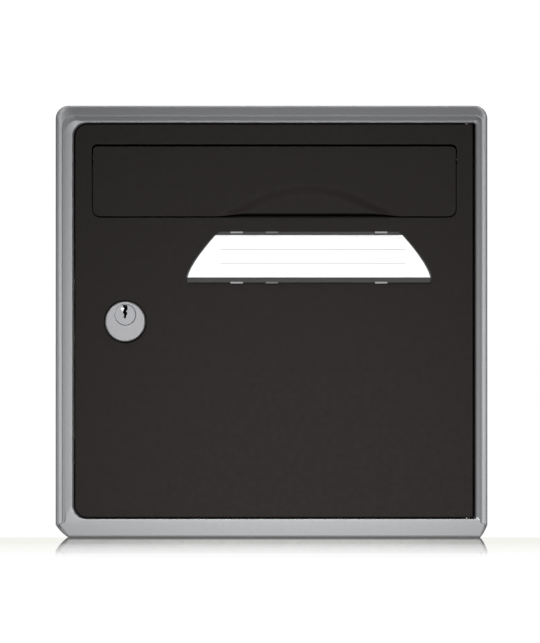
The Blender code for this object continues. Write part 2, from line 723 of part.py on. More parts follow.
def make_door(finish):
    """A folded pan with weld studs, open where the flap, the lock and the name plate go."""
    rim = rounded_outline(DOOR_BOX, DOOR_CORNERS)
    shoulder = (1 - cos(pi / 4)) * DOOR_EDGE
    eased = rounded_outline(inset(DOOR_BOX, shoulder), corners_inset(DOOR_CORNERS, shoulder))
    face = rounded_outline(inset(DOOR_BOX, DOOR_EDGE), corners_inset(DOOR_CORNERS, DOOR_EDGE))
    inner = rounded_outline(inset(DOOR_BOX, SHEET), corners_inset(DOOR_CORNERS, SHEET))
    rings = [
        at_depth(face, DOOR_FRONT),
        at_depth(eased, DOOR_FRONT + shoulder),
        at_depth(rim, DOOR_FRONT + DOOR_EDGE),
        at_depth(rim, DOOR_REAR),
        at_depth(inner, DOOR_REAR),
        at_depth(inner, DOOR_INSIDE),
    ]
    door = loft("door_panel", rings, finish, smooth=True)
    before = DOOR_FRONT - CUT_PAST
    behind = DOOR_INSIDE + CUT_PAST
    window = slab_rings(rounded_outline(WINDOW, WINDOW_CORNERS), before, behind)
    barrel = slab_rings(barrel_outline(FIT), before, behind)
    tabs = [block(inset(tab_box(x, edge), -FIT), before, behind) for x, edge in tab_places()]
    cut(door, "openings", [window, barrel, *tabs])
    radius = BUSH_RADIUS + FIT
    ends = ((DOOR_BOX[3], 1), (DOOR_BOX[2], -1))
    bushes = []
    for z, out in ends:
        seat = (HINGE.x, HINGE.y, z)
        bushes.append(cylinder_rings(seat, (0, 0, out), radius, -SHEET - CUT_PAST, CUT_PAST))
    cut(door, "bush_holes", bushes)
    root = DOOR_FRONT + SHEET / 2
    tip = DOOR_INSIDE + STUD_LENGTH
    length = tip - root
    studs = [cylinder_rings((x, root, z), (0, 1, 0), STUD_RADIUS, 0, length, 10) for x, z in STUDS]
    join(door, "weld_studs", studs)
    return door


# Letter slot: frame, rod, flap and springs


def make_slot_frame(finish):
    """A flange behind the door, a chute for the letters and the flap's stop ledges."""
    grow = (-FLANGE_SIDE, -FLANGE_SIDE, -FLANGE_END, -FLANGE_END)
    flange = rounded_outline(inset(CHUTE_INSIDE, grow), same_corners(2 * CHUTE_CORNER), 3)
    outside = rounded_outline(CHUTE_OUTSIDE, same_corners(CHUTE_CORNER + CHUTE_WALL), 3)
    inside = rounded_outline(CHUTE_INSIDE, same_corners(CHUTE_CORNER), 3)
    flange_rear = CHUTE_FRONT + FLANGE_THICKNESS
    rear = CHUTE_FRONT + CHUTE_DEPTH
    rings = [
        at_depth(flange, CHUTE_FRONT),
        at_depth(flange, flange_rear),
        at_depth(outside, flange_rear),
        at_depth(outside, rear),
        at_depth(inside, rear),
        at_depth(inside, CHUTE_FRONT),
    ]
    slot_frame = loft("slot_frame", rings, finish, closed=True)
    low, *sides = ledges()
    join(slot_frame, "low_ledge", [low])
    join(slot_frame, "side_ledges", sides)
    stud_radius = STUD_RADIUS + FIT
    past = FLANGE_THICKNESS + CUT_PAST
    studs = [
        cylinder_rings((x, CHUTE_FRONT, z), (0, 1, 0), stud_radius, -CUT_PAST, past, 12)
        for x, z in STUDS
    ]
    rod_radius = ROD_RADIUS + FIT
    half = WINDOW_WIDTH / 2 + CHUTE_MARGIN + CHUTE_WALL + CUT_PAST
    rod = cylinder_rings(FLAP_AXIS, (1, 0, 0), rod_radius, -half, half, 12)
    cut(slot_frame, "holes", [*studs, rod])
    return slot_frame


def ledges():
    """One ledge below the window and one at each side, where the closed flap rests."""
    left, right, bottom, _ = CHUTE_INSIDE
    root = CHUTE_WALL / 2
    rear = LEDGE_FRONT + LEDGE_THICKNESS
    top = FLAP_AXIS.z - LEDGE_TOP_CLEARANCE
    low = (left - root, right + root, bottom - root, bottom + LEDGE_WIDTH)
    high = (bottom + LEDGE_WIDTH / 2, top)
    sides = ((left - root, left + LEDGE_WIDTH), (right - LEDGE_WIDTH, right + root))
    boxes = [low] + [(near, far, *high) for near, far in sides]
    nudge = 0.05 * MM  # keeps the side ledges' faces off those of the one below
    return [
        block(box, LEDGE_FRONT - nudge * (index > 0), rear + nudge * (index > 0))
        for index, box in enumerate(boxes)
    ]


def make_slot_nuts(finish):
    seat = CHUTE_FRONT + FLANGE_THICKNESS + FIT
    bore = STUD_RADIUS + FIT
    sides = 6
    rings = []
    for radius, height in (
        (bore, 0),
        (NUT_RADIUS, 0),
        (NUT_RADIUS, NUT_THICKNESS),
        (bore, NUT_THICKNESS),
    ):
        steps = [pi * step / sides for step in range(2 * sides)]
        half_side = NUT_RADIUS * cos(pi / sides)
        ring = []
        for index, angle in enumerate(steps):
            reach = half_side if radius == NUT_RADIUS and index % 2 else radius
            ring.append((reach * cos(angle), reach * sin(angle), height))
        rings.append(ring)
    first = loft("slot_frame_nut_1", rings, finish, closed=True)
    nuts = []
    for number, (x, z) in enumerate(STUDS, 1):
        nut = first if number == 1 else copy_of(first, f"slot_frame_nut_{number}")
        nuts.append(aim(nut, (x, seat, z), (0, 1, 0)))
    return nuts


def make_flap_bumpers(finish):
    """Soft pads on the side ledges, which the closed flap rests on."""
    bottom = WINDOW[2] + STUD_FROM_WINDOW_END
    top = bottom + STOP_HEIGHT
    left, right = CHUTE_INSIDE[0], CHUTE_INSIDE[1]
    spans = (
        ("left", FLAP[0] + BUMPER_MARGIN, left + LEDGE_WIDTH - BUMPER_FROM_LEDGE_EDGE),
        ("right", right - LEDGE_WIDTH + BUMPER_FROM_LEDGE_EDGE, FLAP[1] - BUMPER_MARGIN),
    )
    bumpers = []
    for name, near, far in spans:
        rings = block((near, far, bottom, top), BUMPER_FRONT, BUMPER_FRONT + BUMPER_THICKNESS)
        bumpers.append(loft(f"flap_bumper_{name}", rings, finish))
    return bumpers


def make_rod(finish):
    half = WINDOW_WIDTH / 2 + CHUTE_MARGIN + CHUTE_WALL - FIT
    rings = turned_rings([(ROD_RADIUS, -half), (ROD_RADIUS, half)], 12)
    rod = loft("flap_hinge_rod", rings, finish, smooth=True)
    return aim(rod, FLAP_AXIS, (1, 0, 0))


def smooth_step(value):
    value = max(0.0, min(1.0, value))
    return value * value * (3 - 2 * value)


def lip_flare(x, z):
    """How far the flap's lower middle swells out as a finger lip: an arch from end to end."""
    across = (x - PLATE_CENTRE_X) / LIP_HALF_WIDTH
    if abs(across) >= 1:
        return 0.0
    arch = LIP_HEIGHT * cos(across * pi / 2)
    below = (FLAP[2] + arch - z) / LIP_HEIGHT
    return LIP_FLARE * smooth_step(below)


def flap_row(z):
    """The flap's (left, right) at a height, drawn in at its rounded corners."""
    bottom_corner = WINDOW_CORNER_BOTTOM - FLAP_GAP_SIDE
    top_corner = WINDOW_CORNER_TOP - FLAP_GAP_SIDE
    draw_in = 0.0
    for radius, depth in ((bottom_corner, z - FLAP[2]), (top_corner, FLAP[3] - z)):
        if depth < radius:
            draw_in = radius - (max(0.0, radius**2 - (radius - depth) ** 2)) ** 0.5
    return FLAP[0] + draw_in, FLAP[1] - draw_in


def flap_heights():
    """Rows from the bottom to the top, closer together through the corners."""
    bottom_corner = WINDOW_CORNER_BOTTOM - FLAP_GAP_SIDE
    top_corner = WINDOW_CORNER_TOP - FLAP_GAP_SIDE
    low = [FLAP[2] + bottom_corner * (1 - cos(pi / 2 * step / 3)) for step in range(3)]
    start = FLAP[2] + bottom_corner
    end = FLAP[3] - top_corner
    middle = [start + (end - start) * step / FLAP_ROWS for step in range(FLAP_ROWS)]
    high = [FLAP[3] - top_corner * (1 - cos(pi / 2 * step / 3)) for step in (3, 2, 1, 0)]
    return low + middle + high


def make_flap(finish):
    bm = bmesh.new()
    front = []
    back = []
    for z in flap_heights():
        left, right = flap_row(z)
        xs = [left + (right - left) * step / FLAP_COLUMNS for step in range(FLAP_COLUMNS + 1)]
        flares = [lip_flare(x, z) for x in xs]
        front.append([bm.verts.new((x, DOOR_FRONT - out, z)) for x, out in zip(xs, flares)])
        back.append([bm.verts.new((x, FLAP_BACK - out, z)) for x, out in zip(xs, flares)])
    for sheet in (front, back):
        for lower, upper in zip(sheet, sheet[1:]):
            for index in range(FLAP_COLUMNS):
                bm.faces.new((lower[index], lower[index + 1], upper[index + 1], upper[index]))
    rim_front = front[0] + [row[-1] for row in front[1:]]
    rim_front += front[-1][-2::-1] + [row[0] for row in front[-2:0:-1]]
    rim_back = back[0] + [row[-1] for row in back[1:]]
    rim_back += back[-1][-2::-1] + [row[0] for row in back[-2:0:-1]]
    for index, corner in enumerate(rim_front):
        after = (index + 1) % len(rim_front)
        bm.faces.new((corner, rim_front[after], rim_back[after], rim_back[index]))
    flap = finished("letter_flap", bm, finish, smooth=True)
    first = FLAP[0] + KNUCKLE_END_INSET
    last = FLAP[1] - KNUCKLE_END_INSET - KNUCKLE_LENGTH
    starts = [first + (last - first) * number / (KNUCKLES - 1) for number in range(KNUCKLES)]
    along = (1, 0, 0)
    knuckles = []
    for start in starts:
        foot = (start, FLAP_AXIS.y, FLAP_AXIS.z)
        knuckles.append(cylinder_rings(foot, along, KNUCKLE_RADIUS, 0, KNUCKLE_LENGTH))
    join(flap, "knuckles", knuckles)
    half = WINDOW_WIDTH / 2 + CUT_PAST
    bore = ROD_RADIUS + ROD_CLEARANCE
    cut(flap, "rod_bore", [cylinder_rings(FLAP_AXIS, along, bore, -half, half, 12)])
    return flap


def spring_path(inwards):
    """A coil round the rod, with a leg up behind the flap's top and one back to its rest."""
    mid = FLAP_AXIS
    wall = CHUTE_INSIDE[0] if inwards > 0 else CHUTE_INSIDE[1]
    outer_x = wall + inwards * (SPRING_WIRE + FIT)
    steps = SPRING_TURNS * SPRING_STEPS + SPRING_STEPS // 4
    points = []
    for step in range(steps + 1):
        share = step / steps
        angle = -pi / 2 + 2 * pi * step / SPRING_STEPS
        x = outer_x + inwards * SPRING_LENGTH * share
        y = mid.y - SPRING_RADIUS * cos(angle + pi)
        z = mid.z + SPRING_RADIUS * sin(angle)
        points.append(Vector((x, y, z)))
    first, last = points[0], points[-1]
    rest_leg = first + Vector((0, SPRING_LEG, 0))
    flap_leg = last + Vector((0, 0, SPRING_LEG))
    return [rest_leg, *points, flap_leg]


def make_springs(finish):
    springs = []
    for name, inwards in (("left", 1), ("right", -1)):
        curve = bpy.data.curves.new(f"flap_spring_{name}", "CURVE")
        curve.dimensions = "3D"
        curve.bevel_depth = SPRING_WIRE
        curve.bevel_resolution = 0
        curve.use_fill_caps = True
        spline = curve.splines.new("POLY")
        path = spring_path(inwards)
        spline.points.add(len(path) - 1)
        for point, place in zip(spline.points, path):
            point.co = (*place, 1)
        curve.materials.append(finish)
        spring = bpy.data.objects.new(f"flap_spring_{name}", curve)
        bpy.context.scene.collection.objects.link(spring)
        springs.append(spring)
    return springs


# Name plate


def plate_half_width(z):
    """Half the card's width at a height: its sides curve in towards the top."""
    share = max(0.0, (z - CARD_BOTTOM) / (CARD_TOP - CARD_BOTTOM))
    return CARD_HALF_BOTTOM - (CARD_HALF_BOTTOM - CARD_HALF_TOP) * share**CARD_SIDE_POWER


def plate_outline(bottom, top, grow):
    heights = [bottom + (top - bottom) * step / CARD_SIDE_POINTS for step in range(CARD_SIDE_POINTS + 1)]
    right = [(PLATE_CENTRE_X + plate_half_width(z) + grow, z) for z in heights]
    left = [(PLATE_CENTRE_X - plate_half_width(z) - grow, z) for z in reversed(heights)]
    return right + left


def make_card(finish):
    rear = DOOR_FRONT - FIT
    outline = plate_outline(CARD_BOTTOM, CARD_TOP, 0)
    return loft("name_card", slab_rings(outline, rear - CARD_THICKNESS, rear), finish)


def tab_places():
    """(x, edge) of each tab: edge is 1 along the cover's top and -1 along its bottom."""
    return [(PLATE_CENTRE_X + offset, edge) for edge in (1, -1) for offset in TAB_OFFSETS]


def tab_box(x, edge):
    """(left, right, bottom, top) of a tab's section, just inside the cover's edge."""
    if edge > 0:
        top = CARD_TOP + COVER_ABOVE - TAB_INSET
        bottom = top - TAB_THICKNESS
    else:
        bottom = CARD_BOTTOM - COVER_BELOW + TAB_INSET
        top = bottom + TAB_THICKNESS
    return (x - TAB_WIDTH / 2, x + TAB_WIDTH / 2, bottom, top)


def tab_rings(x, edge, front):
    """A tab through the door with its hook behind it, as an L swept along X."""
    left, right, bottom, top = tab_box(x, edge)
    hook_front = DOOR_INSIDE + FIT
    rear = hook_front + HOOK_THICKNESS
    outer = top if edge > 0 else bottom
    inner = bottom if edge > 0 else top
    tip = outer + edge * (FIT + HOOK_REACH)
    section = (
        (front, inner),
        (front, outer),
        (hook_front, outer),
        (hook_front, tip),
        (rear, tip),
        (rear, inner),
    )
    return [[(x_end, y, z) for y, z in section] for x_end in (left, right)]


def make_cover(finish):
    """A clear moulding whose pocket holds the card and whose tabs hook behind the door."""
    rear = DOOR_FRONT - FIT
    front = rear - COVER_THICKNESS
    grown = plate_outline(CARD_BOTTOM - COVER_BELOW, CARD_TOP + COVER_ABOVE, COVER_SIDE)
    cover = loft("name_cover", slab_rings(grown, front, rear), finish)
    pocket = plate_outline(CARD_BOTTOM - FIT, CARD_TOP + FIT, FIT)
    cut(cover, "card_pocket", [slab_rings(pocket, front + COVER_WINDOW, rear + CUT_PAST)])
    root = rear - TAB_ROOT
    join(cover, "tabs", [tab_rings(x, edge, root) for x, edge in tab_places()])
    return cover


# Lock


def barrel_outline(grow):
    return clipped_round(BARREL_RADIUS + grow, BARREL_HALF_FLAT + grow, LOCK)


def make_lock_body(finish):
    """The rosette and barrel, bored off centre for the plug and grooved for the clip."""
    crown = ROSETTE_RADIUS - ROSETTE_CHAMFER
    rings = [
        at_depth(clipped_round(crown, ROSETTE_RADIUS, LOCK), ROSETTE_FRONT),
        at_depth(clipped_round(ROSETTE_RADIUS, ROSETTE_RADIUS, LOCK), ROSETTE_FRONT + ROSETTE_CHAMFER),
        at_depth(clipped_round(ROSETTE_RADIUS, ROSETTE_RADIUS, LOCK), ROSETTE_BACK),
        at_depth(barrel_outline(0), ROSETTE_BACK),
        at_depth(barrel_outline(0), BARREL_REAR),
    ]
    body = loft("lock_body", rings, finish, smooth=True)
    before = ROSETTE_FRONT - CUT_PAST
    bore = clipped_round(PLUG_RADIUS + FIT, PLUG_RADIUS + FIT, PLUG)
    cut(body, "plug_bore", [slab_rings(bore, before, BARREL_REAR + CUT_PAST)])
    face = clipped_round(PLUG_FACE_RADIUS + FIT, PLUG_FACE_RADIUS + FIT, PLUG)
    cut(body, "face_seat", [slab_rings(face, before, ROSETTE_FRONT + PLUG_FACE_THICKNESS + FIT)])
    rear = DOOR_INSIDE + FIT + CLIP_THICKNESS + FIT
    depth = BARREL_HALF_FLAT - CLIP_GROOVE
    outer = BARREL_RADIUS + CUT_PAST
    grooves = []
    for near, far in ((-outer, -depth), (depth, outer)):
        box = (LOCK_X + near, LOCK_X + far, LOCK_Z - outer, LOCK_Z + outer)
        grooves.append(block(box, DOOR_INSIDE, rear))
    cut(body, "clip_grooves", grooves)
    return body


def make_lock_clip(finish):
    """A spring steel fork, pushed up over the barrel's grooves to hold the lock in the door."""
    gap = BARREL_HALF_FLAT - CLIP_GROOVE + FIT
    bridge = LOCK_Z + BARREL_RADIUS + FIT
    half_width = BARREL_HALF_FLAT + CLIP_PAST_FLAT
    left, right = LOCK_X - half_width, LOCK_X + half_width
    bottom, top = LOCK_Z - BARREL_RADIUS - CLIP_PAST_ROUND, bridge + CLIP_PAST_FLAT
    outline = [
        (left, bottom),
        (LOCK_X - gap, bottom),
        (LOCK_X - gap, bridge),
        (LOCK_X + gap, bridge),
        (LOCK_X + gap, bottom),
        (right, bottom),
        (right, top),
        (left, top),
    ]
    front = DOOR_INSIDE + FIT
    return loft("lock_clip", slab_rings(outline, front, front + CLIP_THICKNESS), finish)


def make_plug(finish):
    face_rear = ROSETTE_FRONT + PLUG_FACE_THICKNESS
    radii = (
        (PLUG_FACE_RADIUS, ROSETTE_FRONT),
        (PLUG_FACE_RADIUS, face_rear),
        (PLUG_RADIUS, face_rear),
        (PLUG_RADIUS, PLUG_REAR),
    )
    rings = [at_depth(clipped_round(radius, radius, PLUG), y) for radius, y in radii]
    plug = loft("lock_plug", rings, finish, smooth=True)
    tail = (PLUG.x - TAIL_HALF, PLUG.x + TAIL_HALF, PLUG.z - TAIL_HALF, PLUG.z + TAIL_HALF)
    join(plug, "tail", [block(tail, PLUG_REAR - CUT_PAST, TAIL_REAR)])
    half = KEYWAY_WIDTH / 2
    middle = PLUG.z + KEYWAY_RISE
    slot = (PLUG.x - half, PLUG.x + half, middle - KEYWAY_HEIGHT / 2, middle + KEYWAY_HEIGHT / 2)
    cut(plug, "keyway", [block(slot, ROSETTE_FRONT - CUT_PAST, ROSETTE_FRONT + KEYWAY_DEPTH)])
    thread = CAM_SCREW_RADIUS + FIT
    reach = CAM_SCREW_REACH + FIT
    screw = cylinder_rings((PLUG.x, TAIL_REAR, PLUG.z), (0, 1, 0), thread, -reach, CUT_PAST, 12)
    cut(plug, "cam_screw_hole", [screw])
    return plug


def make_cam(finish):
    """A flat arm that hangs down at rest, unlocked, and turns a quarter to lock."""
    steps = ROUND_STEPS // 2
    lean = acos((CAM_HUB_RADIUS - CAM_TIP_RADIUS) / CAM_LENGTH)
    outline = []
    for radius, drop, start, end in (
        (CAM_HUB_RADIUS, 0, lean - pi / 2, 1.5 * pi - lean),
        (CAM_TIP_RADIUS, CAM_LENGTH, 1.5 * pi - lean, 1.5 * pi + lean),
    ):
        for step in range(steps + 1):
            angle = start + (end - start) * step / steps
            outline.append((PLUG.x + radius * cos(angle), PLUG.z - drop + radius * sin(angle)))
    cam = loft("lock_cam", slab_rings(outline, CAM_FRONT, CAM_REAR), finish, smooth=True)
    half = TAIL_HALF + FIT
    square = (PLUG.x - half, PLUG.x + half, PLUG.z - half, PLUG.z + half)
    cut(cam, "square_hole", [block(square, CAM_FRONT - CUT_PAST, CAM_REAR + CUT_PAST)])
    return cam


def make_cam_fasteners(washer_finish, screw_finish):
    bore = CAM_SCREW_RADIUS + FIT
    washer_front = FIT
    washer_rear = washer_front + WASHER_THICKNESS
    washer_profile = [
        (bore, washer_front),
        (WASHER_RADIUS, washer_front),
        (WASHER_RADIUS, washer_rear),
        (bore, washer_rear),
    ]
    washer = loft("cam_washer", turned_rings(washer_profile), washer_finish, closed=True, smooth=True)
    seat = washer_rear + FIT
    head = seat + FRAME_SCREW_HEAD_HEIGHT
    screw_profile = [
        *screw_head(head),
        (FRAME_SCREW_HEAD_RADIUS, seat),
        (CAM_SCREW_RADIUS, seat),
        (CAM_SCREW_RADIUS, -CAM_SCREW_REACH),
    ]
    screw = loft("cam_screw", turned_rings(screw_profile, 12), screw_finish, smooth=True)
    for piece in (washer, screw):
        aim(piece, (PLUG.x, TAIL_REAR, PLUG.z), (0, 1, 0))
    return [washer, screw]


# Assembly


def joint_axis(name, location, parent=None):
    """An empty on a joint's axis. The pieces that move with the joint are its children."""
    empty = bpy.data.objects.new(name, None)
    empty.empty_display_size = 20 * MM
    bpy.context.scene.collection.objects.link(empty)
    empty.location = location
    if parent is not None:
        empty.parent = parent
        empty.location = Vector(location) - Vector(parent.location)
    return empty


def attach(pieces, empty, place):
    """Parents the pieces to the empty, which stands at place, and leaves them where they are."""
    for piece in pieces:
        piece.parent = empty
        piece.location = Vector(piece.location) - Vector(place)


def cutters_of(pieces):
    return [modifier.object for piece in pieces for modifier in piece.modifiers]


def build():
    clear_scene()
    steel = material("grey_painted_steel", (0.36, 0.37, 0.38), 0.45)
    frame_grey = material("silver_grey_moulding", (0.38, 0.39, 0.40), 0.4, 0.2)
    black = material("black_powder_coat", (0.022, 0.019, 0.018), 0.5)
    zinc = material("zinc_plated_steel", (0.55, 0.55, 0.53), 0.35, 1.0)
    nickel = material("satin_nickel", (0.62, 0.62, 0.63), 0.3, 0.9)
    nylon = material("white_nylon", (0.75, 0.74, 0.70), 0.5)
    rubber = material("black_rubber", (0.02, 0.02, 0.02), 0.8)
    moulding = material("black_moulding", (0.03, 0.03, 0.03), 0.45)
    card = material("white_card", (0.9, 0.9, 0.9), 0.7)
    clear = material("clear_plastic", (0.85, 0.87, 0.88), 0.1)

    make_shell(steel)
    make_back_panel(steel)
    make_rivets(zinc)
    make_strike(zinc)
    make_door_bumpers(rubber)
    make_frame(frame_grey)
    make_frame_screws(zinc)
    make_hinge_pins(zinc)

    door = [make_door(black), make_slot_frame(moulding), make_rod(zinc), make_card(card)]
    door += [make_cover(clear), make_lock_body(nickel), make_lock_clip(zinc)]
    door += make_hinge_bushes(nylon) + make_slot_nuts(zinc) + make_flap_bumpers(rubber)
    flap = [make_flap(black), *make_springs(zinc)]
    plug = [make_plug(nickel), make_cam(zinc), *make_cam_fasteners(zinc, zinc)]

    door_axis = joint_axis("door_hinge_axis", HINGE)
    flap_axis = joint_axis("flap_hinge_axis", FLAP_AXIS, door_axis)
    plug_axis = joint_axis("lock_turn_axis", PLUG, door_axis)
    for pieces, axis, place in (
        (door, door_axis, HINGE),
        (flap, flap_axis, FLAP_AXIS),
        (plug, plug_axis, PLUG),
    ):
        attach(pieces + cutters_of(pieces), axis, place)


build()
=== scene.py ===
"""The looks of a wall-mounted letterbox: fine pieces, finishes, floor, lights and camera.

Lengths are in metres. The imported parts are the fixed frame, and each piece made here stands for
one of them and moves with its body. A "recess" is a distance behind the frame's foremost plane.
"""

import json
from math import cos, hypot, pi, radians, sin

import bmesh
import bpy
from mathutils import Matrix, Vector

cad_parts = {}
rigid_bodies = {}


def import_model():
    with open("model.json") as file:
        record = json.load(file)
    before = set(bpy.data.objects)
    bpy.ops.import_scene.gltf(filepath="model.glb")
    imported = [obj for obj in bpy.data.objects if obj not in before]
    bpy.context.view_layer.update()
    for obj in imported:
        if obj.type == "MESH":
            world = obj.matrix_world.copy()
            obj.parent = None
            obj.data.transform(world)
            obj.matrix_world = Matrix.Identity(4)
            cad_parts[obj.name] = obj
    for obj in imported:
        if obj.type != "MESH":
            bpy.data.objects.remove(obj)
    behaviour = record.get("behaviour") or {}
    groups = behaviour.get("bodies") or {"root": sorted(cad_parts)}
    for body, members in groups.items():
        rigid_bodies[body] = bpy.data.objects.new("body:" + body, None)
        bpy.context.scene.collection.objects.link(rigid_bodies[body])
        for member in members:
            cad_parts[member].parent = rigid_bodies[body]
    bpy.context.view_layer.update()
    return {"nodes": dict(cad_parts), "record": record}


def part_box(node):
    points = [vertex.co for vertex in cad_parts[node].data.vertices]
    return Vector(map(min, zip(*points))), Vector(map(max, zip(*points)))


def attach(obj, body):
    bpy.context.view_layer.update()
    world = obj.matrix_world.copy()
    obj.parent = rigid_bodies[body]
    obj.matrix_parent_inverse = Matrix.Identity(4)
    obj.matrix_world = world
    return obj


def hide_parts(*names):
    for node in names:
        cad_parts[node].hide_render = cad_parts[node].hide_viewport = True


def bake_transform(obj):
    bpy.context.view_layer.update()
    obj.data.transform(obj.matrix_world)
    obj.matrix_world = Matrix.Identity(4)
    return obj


for startup_object in list(bpy.data.objects):
    bpy.data.objects.remove(startup_object)
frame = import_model()

MM = 0.001

# Camera and stage
CAMERA_DISTANCE = 2.4
SENSOR = 36.0
VIEW_HEIGHT = 0.4465  # what the picture takes in from top to bottom, at the frame's crest
FAR_CLIP = 100
CAMERA_X = -1.04 * MM
CAMERA_Z = 0.14 * MM
FLOOR_SIZE = 40.0
FRONT_LIGHT = Vector((-0.15, -3.3, 0.68))
FRONT_LIGHT_AIM = Vector((0.03, -0.4, -0.17))
FRONT_LIGHT_RADIUS = 0.3
FRONT_LIGHT_CONE = radians(16.5)
FRONT_LIGHT_POWER = 575.0
TOP_LIGHT = Vector((-0.25, -1.3, 1.7))
TOP_LIGHT_SIZE = 0.8
TOP_LIGHT_POWER = 6.0
FILL = 0.22
BACK_FILL = 0.9  # from behind the box, for its sides and back
BACK_FILL_FROM = 0.7  # how far a direction points backwards where the whole back fill is reached
BACKDROP = 1.05

# The floor's reflection of the box
MIRROR_TINT = (0.86, 0.86, 0.82, 1)
MIRROR_START = 5 * MM  # behind the frame's crest, under the box
MIRROR_REACH = 0.225
# How strongly the floor mirrors, over shares of the reach in front of the start
MIRROR_FADE = (
    (0.0, 0.0), (0.01, 1.0), (0.228, 1.0), (0.28, 0.97), (0.333, 0.85), (0.379, 0.74), (0.433, 0.66),
    (0.531, 0.5), (0.628, 0.4), (0.716, 0.3), (0.785, 0.13), (0.902, 0.05), (1.0, 0.0),
)
GRAZING_POWER = 4.0  # the floor mirrors only where it is seen nearly edge on
GRAZING_GAIN = 1.3

LEFT, RIGHT, BOTTOM, TOP = range(4)  # the places of a box's sides in every list of four
WHITE = (1, 1, 1, 1)

# Fineness
CORNER_STEPS = 12
ROUND_STEPS = 72
EDGE_STEPS = 6
SHARP = radians(34)  # edges that turn more than this stay sharp
EASED = radians(38)  # edges that turn more than this are rounded off
WELD_REACH = 0.01 * MM
LEAST_CORNER = 0.15  # millimetres
NORMAL_WEIGHT = 80

# Sizes that the pieces share with the parts behind them
SHEET = 1.2 * MM
FIT = 0.3 * MM
FRAME_WALL = 2.8 * MM
REVEAL_WALL = 2.2 * MM
REVEAL_DEPTH = 14.5 * MM
ROOF_OUTER = 3.0 * MM
ROOF_INNER = 4.6 * MM
FACE_WIDTHS = (12.4 * MM, 8.1 * MM, 12.9 * MM, 11.9 * MM)
CORNERS_OUTER = ((9, 9, 0.7), (5, 9, 0.7), (9, 9, 0), (9, 9, 0))
CORNERS_OPENING = ((9.5, 9.5, 0), (1.5, 1.5, 0), (1.5, 1.5, 0), (9.5, 9.5, 0))
WINDOW_CORNERS = ((5.8, 5.8, 0), (5.8, 5.8, 0), (3.5, 3.5, 0), (3.5, 3.5, 0))

frame_low, frame_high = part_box("front_frame")
door_low, door_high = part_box("door_panel")
flap_low, flap_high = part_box("letter_flap")
card_low, card_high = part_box("name_card")
cover_low, cover_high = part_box("name_cover")
lock_low, lock_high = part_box("lock_body")
plug_low, plug_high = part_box("lock_plug")

FRONT = frame_low.y
OUTER = (frame_low.x, frame_high.x, frame_low.z, frame_high.z)
DOOR_FRONT = door_low.y
DOOR_BOX = (door_low.x, door_high.x, door_low.z, door_high.z)
DOOR_REAR = door_high.y
FLAP = (flap_low.x, flap_high.x, flap_low.z, flap_high.z)
PLATE_X = (card_low.x + card_high.x) / 2
LOCK = Vector(((lock_low.x + lock_high.x) / 2, DOOR_FRONT, (lock_low.z + lock_high.z) / 2))
PLUG = Vector((LOCK.x, DOOR_FRONT, (plug_low.z + plug_high.z) / 2))


# Mesh building


def inset(box, amounts):
    """box is (left, right, bottom, top), moved inwards by one amount or by one for each side."""
    if not isinstance(amounts, (tuple, list)):
        amounts = (amounts,) * 4
    left, right, bottom, top = box
    from_left, from_right, from_bottom, from_top = amounts
    return (left + from_left, right - from_right, bottom + from_bottom, top - from_top)


def corners_inset(corners, amount):
    """Corners, in millimetres, of an outline that runs at this distance inside another."""
    moved = []
    for across, up, flat in corners:
        chamfer = 1 / across + 1 / up - hypot(1 / across, 1 / up)
        shrink = amount / MM * ((1 - flat) * 2 / (across + up) + flat * chamfer)
        reach = max(1 - shrink, LEAST_CORNER / min(across, up))
        moved.append((across * reach, up * reach, flat))
    return tuple(moved)


def rounded_outline(box, corners, steps=CORNER_STEPS):
    """(x, z) points anticlockwise round a box, from its lower left corner.

    A corner is (across, up, flat): its reach along each side in millimetres, and how far its
    arc is flattened to a chamfer.
    """
    left, right, bottom, top = box
    places = (
        (left, bottom, 1, 1, pi),
        (right, bottom, -1, 1, 1.5 * pi),
        (right, top, -1, -1, 0.0),
        (left, top, 1, -1, 0.5 * pi),
    )
    points = []
    for (x, z, inwards_x, inwards_z, start), (across, up, flat) in zip(places, corners):
        end = start + 0.5 * pi
        for step in range(steps + 1):
            share = step / steps
            angle = start + share * (end - start)
            chord_x = (1 - share) * cos(start) + share * cos(end)
            chord_z = (1 - share) * sin(start) + share * sin(end)
            out_x = (1 - flat) * cos(angle) + flat * chord_x
            out_z = (1 - flat) * sin(angle) + flat * chord_z
            points.append((x + across * MM * (inwards_x + out_x), z + up * MM * (inwards_z + out_z)))
    return points


def at_depth(outline, y):
    return [(x, y, z) for x, z in outline]


def circle(centre, radius, half_flat=None, steps=ROUND_STEPS):
    """(x, z) points round a circle, with a flat on its left and right if half_flat is given."""
    points = []
    for step in range(steps):
        angle = 2 * pi * (step + 0.5) / steps
        across = radius * cos(angle)
        if half_flat is not None:
            across = max(-half_flat, min(half_flat, across))
        points.append((centre.x + across, centre.z + radius * sin(angle)))
    return points


def block(box, front, rear):
    left, right, bottom, top = box
    outline = [(left, bottom), (right, bottom), (right, top), (left, top)]
    return [at_depth(outline, front), at_depth(outline, rear)]


def add_skin(bm, rings, closed=False, finish=0):
    """A skin through rings of equally many points. Closed joins the last ring to the first."""
    rows = [[bm.verts.new(point) for point in ring] for ring in rings]
    pairs = list(zip(rows, rows[1:]))
    faces = []
    if closed:
        pairs.append((rows[-1], rows[0]))
    else:
        faces.append(bm.faces.new(rows[0]))
        faces.append(bm.faces.new(rows[-1]))
    for first, second in pairs:
        for index, corner in enumerate(first):
            after = (index + 1) % len(first)
            faces.append(bm.faces.new((corner, first[after], second[after], second[index])))
    for face in faces:
        face.material_index = finish


def piece_from(name, bm):
    bmesh.ops.recalc_face_normals(bm, faces=bm.faces[:])
    mesh = bpy.data.meshes.new(name)
    bm.to_mesh(mesh)
    bm.free()
    obj = bpy.data.objects.new(name, mesh)
    bpy.context.scene.collection.objects.link(obj)
    return obj


